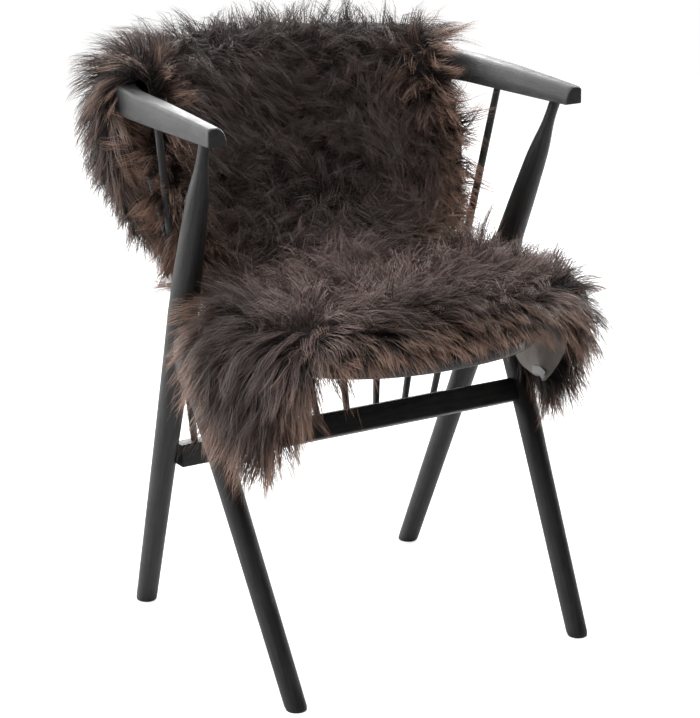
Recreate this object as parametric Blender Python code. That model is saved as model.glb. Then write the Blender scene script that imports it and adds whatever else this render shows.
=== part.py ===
"""Sheepskin rug thrown over a slim wooden dining chair with arms.

The rug is one tanned hide with its fur on: it lies on the seat, runs up the front
of the spindles, folds over the arm rail and hangs down behind.  Its two front leg
lobes hang over the front corners of the seat.  Metres, +Z up; the chair faces -Y.

All sizes below are in the chair's own frame, whose origin is on the floor in the
middle of the four feet.  One empty carries every piece and moves the model so that
its origin is under the middle of the whole object.
"""
import math

import bmesh
import bpy
import numpy as np

# Place of the chair's frame in the model
CHAIR_X = -0.002
CHAIR_Y = -0.048
TOUCH = 0.0003  # gap between pieces that touch

# Legs: centre lines, as x and y at the floor and their change for each metre of height
FOOT_FRONT_X, FOOT_FRONT_Y = 0.2087, -0.1986
FOOT_REAR_X, FOOT_REAR_Y = 0.2073, 0.1986
FRONT_LEAN_X, FRONT_LEAN_Y = 0.0588, 0.5427
REAR_LEAN_X, REAR_LEAN_Y = 0.0621, -0.3995
LEG_SIDES = 14
# Rear leg and post: height, radius
REAR_LEG = (
    (0.000, 0.0125),
    (0.004, 0.0136),
    (0.240, 0.0155),
    (0.400, 0.0176),
    (0.450, 0.0184),
    (0.520, 0.0168),
    (0.580, 0.0142),
    (0.607, 0.0126),
    (0.622, 0.0098),
    (0.640, 0.0070),
)
# Front leg with the web that joins it to the rear leg: height, how far the section
# reaches before and behind the leg's centre line, and its half thickness
FRONT_LEG = (
    (0.000, 0.0125, 0.0125, 0.0125),
    (0.004, 0.0138, 0.0138, 0.0136),
    (0.200, 0.0160, 0.0160, 0.0146),
    (0.300, 0.0172, 0.0172, 0.0158),
    (0.326, 0.0175, 0.0190, 0.0160),
    (0.338, 0.0175, 0.0250, 0.0158),
    (0.347, 0.0176, 0.0350, 0.0155),
    (0.355, 0.0178, 0.0460, 0.0152),
    (0.380, 0.0180, 0.0420, 0.0150),
    (0.400, 0.0182, 0.0420, 0.0148),
    (0.415, 0.0210, 0.0420, 0.0142),
    (0.430, 0.0310, 0.0420, 0.0120),
    (0.446, 0.0435, 0.0420, 0.0080),
)
HEAD_GAP = 0.0008  # between the true curves, which leaves the flat sides 0.3 mm apart
HEAD_FEATHER = 0.0012

# Arm rail: half a superellipse behind, two straight arms in front
RAIL_HALF_WIDTH = 0.246
RAIL_CENTRE_Y = 0.080
RAIL_DEPTH = 0.205
RAIL_POWER = 2.15
ARM_END_Y = -0.104
ARM_END_X = 0.251
RAIL_BOTTOM = 0.668
# Along the rail from the back's middle, as a share of its half length: half width, height
RAIL_SECTIONS = (
    (0.00, 0.0190, 0.0340),
    (0.55, 0.0185, 0.0340),
    (0.75, 0.0165, 0.0300),
    (0.90, 0.0140, 0.0255),
    (1.00, 0.0122, 0.0220),
)
RAIL_STEPS = 27  # on each side of the middle
RAIL_CURVE_SAMPLES = 160
RAIL_ARM_SAMPLES = 60
RAIL_TANGENT_STEP = 0.006
RAIL_CHAMFER = 0.0035
RAIL_EASE = 0.0015  # at the two bottom corners
# The rail's inner shoulder: distance in from the centre line and height, as shares
RAIL_SHOULDER = (
    (0.05, 1.00),
    (0.45, 0.90),
    (0.75, 0.65),
    (0.93, 0.35),
)
ARM_END_EASE = 0.0065  # the last section before an arm's end face

# Spindles, between the rear stretcher and the rail
SPINDLES = 9
SPINDLE_FOOT_PITCH = 0.0455
SPINDLE_TOP_PITCH = 0.0965  # along the rail
SPINDLE_RADIUS = 0.0050
SPINDLE_SIDES = 8
# Turned profile of a spindle: share of its height, share of its radius
SPINDLE_PROFILE = (
    (0.00, 0.90),
    (0.12, 1.00),
    (0.50, 1.06),
    (0.88, 1.00),
    (1.00, 0.90),
)

# Stretchers and the rail under the seat: centre y and z, depth, height, tilt
STRETCHER_REAR = (0.1000, 0.2315, 0.022, 0.030, 0.0)
STRETCHER_FRONT = (-0.0428, 0.2870, 0.018, 0.030, math.degrees(math.atan(FRONT_LEAN_Y)))
SEAT_RAIL = (0.0270, 0.3822, 0.060, 0.0250, 0.0)
# Half lengths, each up to the legs that hold the bar
STRETCHER_REAR_HALF = 0.2049
STRETCHER_FRONT_HALF = 0.2093
SEAT_RAIL_HALF = 0.2128
BAR_CHAMFER = 0.0020

# Seat pad: superellipse in plan, rolled lip
SEAT_HALF_WIDTH = 0.207
SEAT_CENTRE_Y = -0.020
SEAT_FRONT_DEPTH = 0.208
SEAT_REAR_DEPTH = 0.182
SEAT_POWER = 2.4
SEAT_SIDES = 40
# Rings of the pad from the bottom to the crown: how far inside the outline, height
SEAT_RINGS = (
    (0.0140, 0.3950),
    (0.0040, 0.3965),
    (0.0000, 0.4030),
    (0.0008, 0.4120),
    (0.0060, 0.4200),
    (0.0180, 0.4265),
    (0.0500, 0.4330),
    (0.1100, 0.4370),
)
SEAT_CROWN = 0.4380
SEAT_BRIM = 0.4290  # below this height the hide is outside the pad
SEAT_CLEAR = 0.0065

# Hide: rows from the front edge of the rug to its tail, skin side
# On the seat: y, how far y falls back 0.2 m to each side, z, half widths left and right,
# where it starts to fall on each side, the lengths in which it turns down, and how far it
# turns, left and right, in degrees
SEAT_ROWS = (
    (-0.223, 0.055, 0.4295, 0.112, 0.122, 0.080, 0.100, 0.060, 0.060, 10.0, 10.0),
    (-0.202, 0.035, 0.4400, 0.150, 0.158, 0.110, 0.120, 0.060, 0.060, 30.0, 30.0),
    (-0.180, 0.025, 0.4430, 0.188, 0.205, 0.132, 0.150, 0.050, 0.060, 60.0, 70.0),
    (-0.160, 0.015, 0.4430, 0.268, 0.310, 0.150, 0.186, 0.048, 0.075, 86.0, 112.0),
    (-0.140, 0.008, 0.4420, 0.322, 0.360, 0.166, 0.203, 0.048, 0.080, 86.0, 118.0),
    (-0.112, 0.000, 0.4405, 0.338, 0.370, 0.180, 0.210, 0.050, 0.080, 86.0, 116.0),
    (-0.080, 0.000, 0.4390, 0.322, 0.348, 0.190, 0.206, 0.050, 0.075, 84.0, 106.0),
    (-0.045, 0.000, 0.4384, 0.272, 0.280, 0.196, 0.198, 0.048, 0.060, 78.0, 84.0),
    (-0.018, 0.000, 0.4383, 0.214, 0.214, 0.190, 0.150, 0.048, 0.060, 10.0, -14.0),
    (0.010, 0.000, 0.4383, 0.200, 0.202, 0.140, 0.130, 0.060, 0.070, -16.0, -34.0),
    (0.045, 0.000, 0.4390, 0.196, 0.198, 0.140, 0.130, 0.060, 0.070, -16.0, -30.0),
    (0.085, 0.000, 0.4430, 0.182, 0.182, 0.140, 0.130, 0.060, 0.070, -10.0, -16.0),
)
SEAT_BOW_REACH = 0.2
SEAT_ROW_SAMPLES = 200
# Before the spindles: height as a share of the spindle, gap to the spindles' centres,
# and half widths left and right, in spindles from the middle one
BACK_ROWS = (
    (0.500, 0.062, 3.90, 3.90),
    (0.560, 0.038, 3.95, 3.95),
    (0.640, 0.020, 3.90, 3.85),
    (0.760, 0.013, 3.75, 3.70),
    (0.880, 0.014, 3.45, 3.45),
    (0.960, 0.0225, 3.25, 3.20),
)
# Over the rail and behind it: offset outwards from the rail's centre line, height, and
# half widths left and right, along the rail
RAIL_ROWS = (
    (-0.0235, 0.6860, 0.300, 0.280),
    (-0.0170, 0.7040, 0.298, 0.272),
    (0.0000, 0.7075, 0.296, 0.266),
    (0.0165, 0.7060, 0.295, 0.264),
    (0.0240, 0.6950, 0.293, 0.264),
    (0.0245, 0.6400, 0.284, 0.264),
    (0.0250, 0.5800, 0.252, 0.246),
    (0.0250, 0.5200, 0.208, 0.212),
    (0.0240, 0.4650, 0.152, 0.160),
    (0.0230, 0.4250, 0.085, 0.095),
)
HIDE_COLUMNS = 29
HIDE_PITCH = 0.026  # the most between two lines of the hide, down its middle
NORMAL_PASSES = 3  # rounds in which the way the fur stands is evened out

# Fur on the hide
# Distance from the front edge down the middle of the hide, height of the pile there
PILE_ROWS = (
    (0.000, 0.034),
    (0.060, 0.042),
    (0.140, 0.046),
    (0.300, 0.044),
    (0.420, 0.036),
    (0.600, 0.042),
    (0.680, 0.043),
    (0.740, 0.032),
    (0.860, 0.029),
    (1.100, 0.028),
)
PILE_NOSE = 0.052  # the pile rounds off within this distance from the hide's edge
# Places on the seat where the fur stands higher: x, y, reach, extra height
PILE_SWELLS = (
    (0.200, -0.020, 0.090, 0.022),
    (0.190, -0.110, 0.080, 0.012),
    (-0.180, -0.060, 0.080, 0.006),
)
PILE_SWELL_TOP = 0.56  # no swell above this height
# Lumps of the pile: share of the pile, waves for each metre along and across, phase
LUMPS = (
    (0.075, 9.0, 3.0, 0.4),
    (0.070, -4.0, 10.0, 2.1),
    (0.060, 14.0, -8.0, 4.0),
    (0.045, 6.0, 17.0, 1.2),
)

# Locks at the rim: edge of the hide, from and to as shares of that edge, locks for each
# step of the hide, their length, how far they lean off the hide, and how far they fall
LOCK_STRIPS = {
    "locks_front": ("front", 0.08, 0.92, 1, 0.030, 0.30, 0.25),
    "locks_flap_left": ("left", 0.110, 0.190, 2, 0.040, 0.45, 0.30),
    "locks_flap_right": ("right", 0.110, 0.190, 2, 0.040, 0.45, 0.30),
    "locks_back_left": ("left", 0.440, 0.600, 1, 0.030, 0.90, 0.00),
    "locks_back_right": ("right", 0.440, 0.600, 1, 0.030, 0.90, 0.00),
    "locks_rear_left": ("left", 0.720, 0.840, 2, 0.032, 0.45, 0.25),
    "locks_rear_right": ("right", 0.720, 0.840, 2, 0.032, 0.45, 0.25),
    "locks_tail_left": ("left", 0.870, 0.980, 2, 0.036, 0.40, 0.30),
    "locks_tail_right": ("right", 0.870, 0.980, 2, 0.036, 0.40, 0.30),
    "locks_tail": ("rear", 0.08, 0.92, 1, 0.042, 0.40, 0.30),
}
LOCK_ROOT = 0.0010  # from the hide's edge to the strip that holds the locks
LOCK_STRIP = 0.0035
LOCK_THICK = 0.0090
LOCK_BELLY = 0.45  # where a lock has its belly, as a share of its length
LOCK_BELLY_WIDTH = 0.72  # its width there, as a share of its root
LOCK_STRAY = 0.12  # how far each lock strays from the strip's own way
LOCK_REACH = (0.80, 1.12)  # shortest and longest lock, as shares of the strip's length
LOCK_CURL = 0.5  # how much more the tip falls, as a share of the strip's fall

# Care label, left blank, on the skin side of the right front lobe, where it follows the
# hide from column to column: its first and last column counted from the right edge, the
# line of the hide beside it, and its two sides as shares of the step to the next line
LABEL_COLUMNS = (3, 0)
LABEL_LINE = 7
LABEL_SIDES = (0.25, 0.60)
LABEL_THICK = 0.0008
LABEL_GAP = 0.0008

COLOURS = {
    "wood": ((0.020, 0.019, 0.018), 0.50),
    "leather": ((0.018, 0.017, 0.017), 0.38),
    "fur": ((0.058, 0.036, 0.030), 0.85),
    "label": ((0.420, 0.400, 0.380), 0.80),
}


def clear_scene():
    """Removes whatever objects the scene holds."""
    for item in list(bpy.data.objects):
        bpy.data.objects.remove(item, do_unlink=True)


def material(name):
    """The part's material of that name, with its colour and roughness."""
    found = bpy.data.materials.get(name)
    if found is None:
        colour, roughness = COLOURS[name]
        found = bpy.data.materials.new(name)
        found.use_nodes = True
        shader = found.node_tree.nodes["Principled BSDF"]
        shader.inputs["Base Color"].default_value = (*colour, 1.0)
        shader.inputs["Roughness"].default_value = roughness
        shader.inputs["Metallic"].default_value = 0.0
    return found


def add_piece(name, points, faces, finish, holder, smooth=40.0):
    """One named object from points and faces, with its faces pointing out."""
    mesh = bpy.data.meshes.new(name)
    mesh.from_pydata([tuple(map(float, p)) for p in points], [], faces)
    work = bmesh.new()
    work.from_mesh(mesh)
    bmesh.ops.recalc_face_normals(work, faces=work.faces)
    work.to_mesh(mesh)
    work.free()
    mesh.shade_smooth()
    mesh.set_sharp_from_angle(angle=math.radians(smooth))
    mesh.materials.append(material(finish))
    piece = bpy.data.objects.new(name, mesh)
    bpy.context.scene.collection.objects.link(piece)
    piece.parent = holder
    return piece


def loft(rings):
    """Points and faces of the solid through rings of equal length, with flat ends."""
    count = len(rings[0])
    points = [p for ring in rings for p in ring]
    faces = []
    for k in range(len(rings) - 1):
        low, high = k * count, (k + 1) * count
        for i in range(count):
            j = (i + 1) % count
            faces.append((low + i, low + j, high + j, high + i))
    faces.append(tuple(range(count - 1, -1, -1)))
    last = (len(rings) - 1) * count
    faces.append(tuple(range(last, last + count)))
    return points, faces


def smooth_step(t):
    """0 below 0, 1 above 1, and an even S between."""
    t = np.clip(t, 0.0, 1.0)
    return t * t * (3.0 - 2.0 * t)


# Arm rail

def rail_line():
    """The rail's centre line from the middle of the back to the end of the right arm."""
    turn = np.linspace(math.pi / 2, 0.0, RAIL_CURVE_SAMPLES)
    x = RAIL_HALF_WIDTH * np.abs(np.cos(turn)) ** (2.0 / RAIL_POWER)
    y = RAIL_CENTRE_Y + RAIL_DEPTH * np.abs(np.sin(turn)) ** (2.0 / RAIL_POWER)
    arm = np.linspace(0.0, 1.0, RAIL_ARM_SAMPLES)[1:]
    x = np.concatenate([x, RAIL_HALF_WIDTH + arm * (ARM_END_X - RAIL_HALF_WIDTH)])
    y = np.concatenate([y, RAIL_CENTRE_Y + arm * (ARM_END_Y - RAIL_CENTRE_Y)])
    steps = np.hypot(np.diff(x), np.diff(y))
    return np.concatenate([[0.0], np.cumsum(steps)]), x, y


RAIL_S, RAIL_X, RAIL_Y = rail_line()
RAIL_HALF_LENGTH = RAIL_S[-1]


def rail_point(s):
    """x and y on the rail's centre line at signed lengths s from the back's middle."""
    s = np.asarray(s, float)
    x = np.interp(np.abs(s), RAIL_S, RAIL_X) * np.sign(s)
    y = np.interp(np.abs(s), RAIL_S, RAIL_Y)
    return np.stack([x, y], -1)


def rail_outward(s):
    """The level unit vector that points out of the horseshoe at length s."""
    s = np.asarray(s, float)
    small = RAIL_TANGENT_STEP
    inside = np.clip(s, -RAIL_HALF_LENGTH + small, RAIL_HALF_LENGTH - small)
    along = rail_point(inside + small) - rail_point(inside - small)
    along /= np.linalg.norm(along, axis=-1, keepdims=True)
    return np.stack([-along[..., 1], along[..., 0]], -1)


def build_rail(holder):
    """Sections along the horseshoe: upright outer face, rounded inner shoulder."""
    s = np.linspace(-1.0, 1.0, 2 * RAIL_STEPS + 1) * (RAIL_HALF_LENGTH - ARM_END_EASE)
    s = np.concatenate([[-RAIL_HALF_LENGTH], s, [RAIL_HALF_LENGTH]])
    share = np.abs(s) / RAIL_HALF_LENGTH
    table = np.array(RAIL_SECTIONS)
    half = np.interp(share, table[:, 0], table[:, 1])
    tall = np.interp(share, table[:, 0], table[:, 2])
    centre, out = rail_point(s), rail_outward(s)
    c, ease = RAIL_CHAMFER, RAIL_EASE
    rings = []
    for k in range(len(s)):
        w, h = half[k], tall[k]
        section = [(w - ease, 0.0), (w, ease), (w, h - c), (w - c, h)]
        section += [(-w * inward, h * up) for inward, up in RAIL_SHOULDER]
        section += [(-w, ease), (-w + ease, 0.0)]
        rings.append([
            (centre[k, 0] + a * out[k, 0], centre[k, 1] + a * out[k, 1], RAIL_BOTTOM + b)
            for a, b in section
        ])
    points, faces = loft(rings)
    return add_piece("arm_rail", points, faces, "wood", holder, 25.0)


# Legs

def rear_centre(side, z):
    """Centre of a rear leg at height z; side is -1 on the left."""
    return side * (FOOT_REAR_X + REAR_LEAN_X * z), FOOT_REAR_Y + REAR_LEAN_Y * z


def front_centre(side, z):
    """Centre of a front leg at height z; side is -1 on the left."""
    return side * (FOOT_FRONT_X + FRONT_LEAN_X * z), FOOT_FRONT_Y + FRONT_LEAN_Y * z


def build_rear_leg(name, side, holder):
    """A rear leg that runs on up as the post under the arm, in level rings."""
    stretch = math.hypot(1.0, REAR_LEAN_Y)
    rings = []
    for z, radius in REAR_LEG + ((RAIL_BOTTOM - TOUCH, REAR_LEG[-1][1]),):
        cx, cy = rear_centre(side, z)
        rings.append([
            (
                cx + radius * math.cos(2 * math.pi * i / LEG_SIDES),
                cy + radius * stretch * math.sin(2 * math.pi * i / LEG_SIDES),
                z,
            )
            for i in range(LEG_SIDES)
        ])
    points, faces = loft(rings)
    return add_piece(name, points, faces, "wood", holder)


def rear_leg_face(side, z, x):
    """y of the face that a rear leg turns to the front leg, where x lies on it."""
    table = np.array(REAR_LEG)
    radius = np.interp(z, table[:, 0], table[:, 1]) + HEAD_GAP
    cx, cy = rear_centre(side, z)
    inside = np.clip(1.0 - ((x - cx) / radius) ** 2, 0.0, 1.0)
    return cy - radius * math.hypot(1.0, REAR_LEAN_Y) * math.sqrt(inside)


def build_front_leg(name, side, holder):
    """A front leg whose widened head follows the face of the rear leg."""
    rings = []
    for z, before, behind, half in FRONT_LEG:
        cx, cy = front_centre(side, z)
        ring = []
        for i in range(LEG_SIDES):
            turn = 2 * math.pi * (i + 0.5) / LEG_SIDES
            x, bow = cx + half * math.cos(turn), abs(math.sin(turn))
            rear = min(cy + behind * bow, rear_leg_face(side, z, x))
            front = min(cy - before * bow, rear - HEAD_FEATHER)
            ring.append((x, rear if math.sin(turn) > 0 else front, z))
        rings.append(ring)
    points, faces = loft(rings)
    return add_piece(name, points, faces, "wood", holder)


# Spindles, bars and seat

def spindle_point(place, share):
    """Points on the fan of spindles; place counts spindles from the middle one."""
    place = np.asarray(place, float)
    top = rail_point(place * SPINDLE_TOP_PITCH)
    foot = np.stack([place * SPINDLE_FOOT_PITCH, np.full(place.shape, STRETCHER_REAR[0])], -1)
    low = STRETCHER_REAR[1] + STRETCHER_REAR[3] / 2
    level = foot + share * (top - foot)
    height = np.full(place.shape, low + share * (RAIL_BOTTOM - low))
    return np.concatenate([level, height[..., None]], -1)


def build_spindles(holder):
    """Nine turned rods from the rear stretcher up to the rail."""
    middle = (SPINDLES - 1) // 2
    for n in range(SPINDLES):
        foot = spindle_point(n - middle, 0.0)
        top = spindle_point(n - middle, 1.0)
        rings = []
        for share, swell in SPINDLE_PROFILE:
            centre = foot + share * (top - foot)
            radius = swell * SPINDLE_RADIUS
            z = np.clip(centre[2], foot[2] + TOUCH, top[2] - TOUCH)
            turns = [2 * math.pi * i / SPINDLE_SIDES for i in range(SPINDLE_SIDES)]
            rings.append([
                (centre[0] + radius * math.cos(turn), centre[1] + radius * math.sin(turn), z)
                for turn in turns
            ])
        points, faces = loft(rings)
        add_piece(f"spindle_{n + 1}", points, faces, "wood", holder)


def build_bar(name, sizes, half_length, holder):
    """A straight bar across the chair, tilted about its length, with eased edges."""
    y, z, depth, height, tilt = sizes
    a, b, c = depth / 2, height / 2, BAR_CHAMFER
    section = ((a - c, -b), (a, -b + c), (a, b - c), (a - c, b),
               (-a + c, b), (-a, b - c), (-a, -b + c), (-a + c, -b))
    sine, cosine = math.sin(math.radians(tilt)), math.cos(math.radians(tilt))
    rings = [
        [(x, y + p * cosine + q * sine, z - p * sine + q * cosine) for p, q in section]
        for x in (-half_length, half_length)
    ]
    points, faces = loft(rings)
    return add_piece(name, points, faces, "wood", holder, 25.0)


def seat_outline(inset):
    """The pad's outline in plan, drawn in by inset."""
    turn = np.linspace(0.0, 2 * math.pi, SEAT_SIDES, endpoint=False)
    power = 2.0 / SEAT_POWER
    x = np.sign(np.cos(turn)) * np.abs(np.cos(turn)) ** power
    y = np.sign(np.sin(turn)) * np.abs(np.sin(turn)) ** power
    depth = np.where(y > 0, SEAT_REAR_DEPTH, SEAT_FRONT_DEPTH)
    return np.stack([x * (SEAT_HALF_WIDTH - inset), SEAT_CENTRE_Y + y * (depth - inset)], -1)


def build_seat(holder):
    """The pad: a crowned top that rolls over into a rounded lip."""
    points, faces = [], []
    for inset, z in SEAT_RINGS:
        points += [(x, y, z) for x, y in seat_outline(inset)]
    for k in range(len(SEAT_RINGS) - 1):
        low, high = k * SEAT_SIDES, (k + 1) * SEAT_SIDES
        for i in range(SEAT_SIDES):
            j = (i + 1) % SEAT_SIDES
            faces.append((low + i, low + j, high + j, high + i))
    faces.append(tuple(range(SEAT_SIDES - 1, -1, -1)))
    crown = len(points)
    points.append((0.0, SEAT_CENTRE_Y, SEAT_CROWN))
    last = (len(SEAT_RINGS) - 1) * SEAT_SIDES
    for i in range(SEAT_SIDES):
        faces.append((last + i, last + (i + 1) % SEAT_SIDES, crown))
    return add_piece("seat_pad", points, faces, "leather", holder, 60.0)


# Sheepskin

def seat_row(row, across):
    """A row of the hide on the seat: level, then turning down or up past its edges."""
    y, bow, z, left, right, edge_left, edge_right, *turns = row
    bend_left, bend_right, fall_left, fall_right = turns
    points = np.zeros((len(across), 3))
    for side, half, edge, bend, fall in (
        (-1, left, edge_left, bend_left, fall_left),
        (1, right, edge_right, bend_right, fall_right),
    ):
        s = np.linspace(0.0, half, SEAT_ROW_SAMPLES)
        turn = math.radians(fall) * smooth_step((s - edge) / bend)
        step = s[1] - s[0]
        x = np.concatenate([[0.0], np.cumsum(np.cos(turn[1:]) * step)])
        drop = np.concatenate([[0.0], np.cumsum(np.sin(turn[1:]) * step)])
        chosen = across * side >= 0
        s_at = np.abs(across[chosen]) * half
        points[chosen, 0] = side * np.interp(s_at, s, x)
        points[chosen, 2] = z - np.interp(s_at, s, drop)
    points[:, 1] = y + bow * (points[:, 0] / SEAT_BOW_REACH) ** 2
    return points


def back_row(row, across):
    """A row of the hide before the spindles."""
    share, gap, left, right = row
    place = np.where(across < 0, across * left, across * right)
    points = spindle_point(place, share)
    points[:, :2] -= gap * rail_outward(place * SPINDLE_TOP_PITCH)
    return points


def rail_row(row, across):
    """A row of the hide over the rail or behind it."""
    offset, z, left, right = row
    s = np.where(across < 0, across * left, across * right)
    level = rail_point(s) + offset * rail_outward(s)
    return np.concatenate([level, np.full((len(s), 1), z)], -1)


def hide_grid():
    """The skin side of the hide, lines by columns by 3, even along its length.

    The rows of the three tables are joined by cubic curves through equal shares of
    their widths.  Each row is a line of the grid, and the step from one row to the next
    is cut into equal parts, none longer than the hide's pitch.
    """
    across = np.linspace(-1.0, 1.0, HIDE_COLUMNS)
    rows = [seat_row(r, across) for r in SEAT_ROWS]
    rows += [back_row(r, across) for r in BACK_ROWS]
    rows += [rail_row(r, across) for r in RAIL_ROWS]
    rows = np.array(rows)
    gaps = np.linalg.norm(np.diff(rows, axis=0), axis=2).mean(axis=1)
    knots = np.concatenate([[0.0], np.cumsum(gaps)])
    slope = np.zeros_like(rows)
    slope[1:-1] = (rows[2:] - rows[:-2]) / (knots[2:] - knots[:-2])[:, None, None]
    slope[0] = (rows[1] - rows[0]) / gaps[0]
    slope[-1] = (rows[-1] - rows[-2]) / gaps[-1]
    parts = np.ceil(gaps / HIDE_PITCH).astype(int)
    places = [knots[k] + gaps[k] * np.arange(n) / n for k, n in enumerate(parts)]
    places = np.concatenate(places + [knots[-1:]])
    index = np.clip(np.searchsorted(knots, places, side="right") - 1, 0, len(gaps) - 1)
    width = gaps[index]
    t = (places - knots[index]) / width
    h00, h10 = 2 * t**3 - 3 * t**2 + 1, t**3 - 2 * t**2 + t
    h01, h11 = -2 * t**3 + 3 * t**2, t**3 - t**2
    return (
        h00[:, None, None] * rows[index]
        + (h10 * width)[:, None, None] * slope[index]
        + h01[:, None, None] * rows[index + 1]
        + (h11 * width)[:, None, None] * slope[index + 1]
    )


def clear_seat(grid):
    """The hide with its low points pushed out of the pad, level and away from its middle."""
    centre = np.array([0.0, SEAT_CENTRE_Y])
    level = grid[..., :2] - centre
    depth = np.where(level[..., 1] > 0, SEAT_REAR_DEPTH, SEAT_FRONT_DEPTH) + SEAT_CLEAR
    share = np.abs(level[..., 0] / (SEAT_HALF_WIDTH + SEAT_CLEAR)) ** SEAT_POWER
    share = (share + np.abs(level[..., 1] / depth) ** SEAT_POWER) ** (1.0 / SEAT_POWER)
    inside = (share < 1.0) & (grid[..., 2] < SEAT_BRIM)
    pushed = grid.copy()
    pushed[..., :2] = np.where(inside[..., None], centre + level / share[..., None], grid[..., :2])
    return pushed


def grid_normals(grid):
    """Unit normals of the hide on its fur side, evened out between neighbours."""
    normal = np.cross(np.gradient(grid, axis=1), np.gradient(grid, axis=0))
    normal /= np.linalg.norm(normal, axis=2, keepdims=True)
    for _ in range(NORMAL_PASSES):
        wide = np.pad(normal, ((1, 1), (1, 1), (0, 0)), mode="edge")
        normal = 2 * normal + wide[:-2, 1:-1] + wide[2:, 1:-1] + wide[1:-1, :-2] + wide[1:-1, 2:]
        normal /= np.linalg.norm(normal, axis=2, keepdims=True)
    return normal


def edge_distance(grid):
    """Distance of each point of the hide to its nearest edge, along its lines."""
    across = np.linalg.norm(np.diff(grid, axis=1), axis=2)
    from_left = np.concatenate([np.zeros((len(grid), 1)), np.cumsum(across, axis=1)], 1)
    from_right = from_left[:, -1:] - from_left
    along = np.linalg.norm(np.diff(grid, axis=0), axis=2)
    from_front = np.concatenate([np.zeros((1, grid.shape[1])), np.cumsum(along, axis=0)], 0)
    from_rear = from_front[-1:] - from_front
    nearest = np.minimum(np.minimum(from_left, from_right), np.minimum(from_front, from_rear))
    return nearest, from_left, from_front


def pile_height(grid):
    """Height of the fur: rounded off at the hide's edge, with swells and low lumps."""
    nearest, across, along = edge_distance(grid)
    inside = np.clip(nearest / PILE_NOSE, 0.0, 1.0)
    nose = np.sqrt(1.0 - (1.0 - inside) ** 2)
    lumps = np.ones_like(nearest)
    for size, waves_along, waves_across, phase in LUMPS:
        lumps += size * np.sin(2 * math.pi * (waves_along * along + waves_across * across) + phase)
    table = np.array(PILE_ROWS)
    down = along[:, along.shape[1] // 2]
    height = np.interp(down, table[:, 0], table[:, 1])[:, None] * lumps
    for x, y, reach, extra in PILE_SWELLS:
        away = np.hypot(grid[..., 0] - x, grid[..., 1] - y) / reach
        height += extra * (1.0 - smooth_step(away)) * (grid[..., 2] < PILE_SWELL_TOP)
    return height * nose


def build_sheepskin(grid, normals, holder):
    """The hide and its fur as one draped, lumpy solid."""
    lines, columns = grid.shape[:2]
    skin = grid.reshape(-1, 3)
    fur = (grid + normals * pile_height(grid)[..., None])[1:-1, 1:-1].reshape(-1, 3)
    lower = np.arange(lines * columns).reshape(lines, columns)
    upper = lower.copy()
    upper[1:-1, 1:-1] = len(skin) + np.arange(len(fur)).reshape(lines - 2, columns - 2)
    faces = []
    for i in range(lines - 1):
        for j in range(columns - 1):
            faces.append((lower[i, j], lower[i + 1, j], lower[i + 1, j + 1], lower[i, j + 1]))
            faces.append((upper[i, j], upper[i, j + 1], upper[i + 1, j + 1], upper[i + 1, j]))
    faces = [tuple(int(n) for n in face) for face in faces]
    return add_piece("sheepskin", np.concatenate([skin, fur]), faces, "fur", holder, 180.0)


def rim(grid, normals, edge):
    """One edge of the hide: its points, its normals and the level way out of it."""
    if edge in ("left", "right"):
        rim_column, inner = (0, 1) if edge == "left" else (-1, -2)
        points, near = grid[:, rim_column], grid[:, inner]
        normal = normals[:, rim_column]
    else:
        rim_line, inner = (0, 1) if edge == "front" else (-1, -2)
        points, near = grid[rim_line], grid[inner]
        normal = normals[rim_line]
    along = np.gradient(points, axis=0)
    along /= np.linalg.norm(along, axis=1, keepdims=True)
    out = points - near
    out -= (out * along).sum(1, keepdims=True) * along
    out /= np.linalg.norm(out, axis=1, keepdims=True)
    normal = normal - (normal * along).sum(1, keepdims=True) * along
    normal -= (normal * out).sum(1, keepdims=True) * out
    normal /= np.linalg.norm(normal, axis=1, keepdims=True)
    return points, normal, out


def resample(values, places):
    """Rows of values at places counted in rows."""
    own = np.arange(len(values))
    return np.stack([np.interp(places, own, values[:, k]) for k in range(3)], 1)


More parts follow.
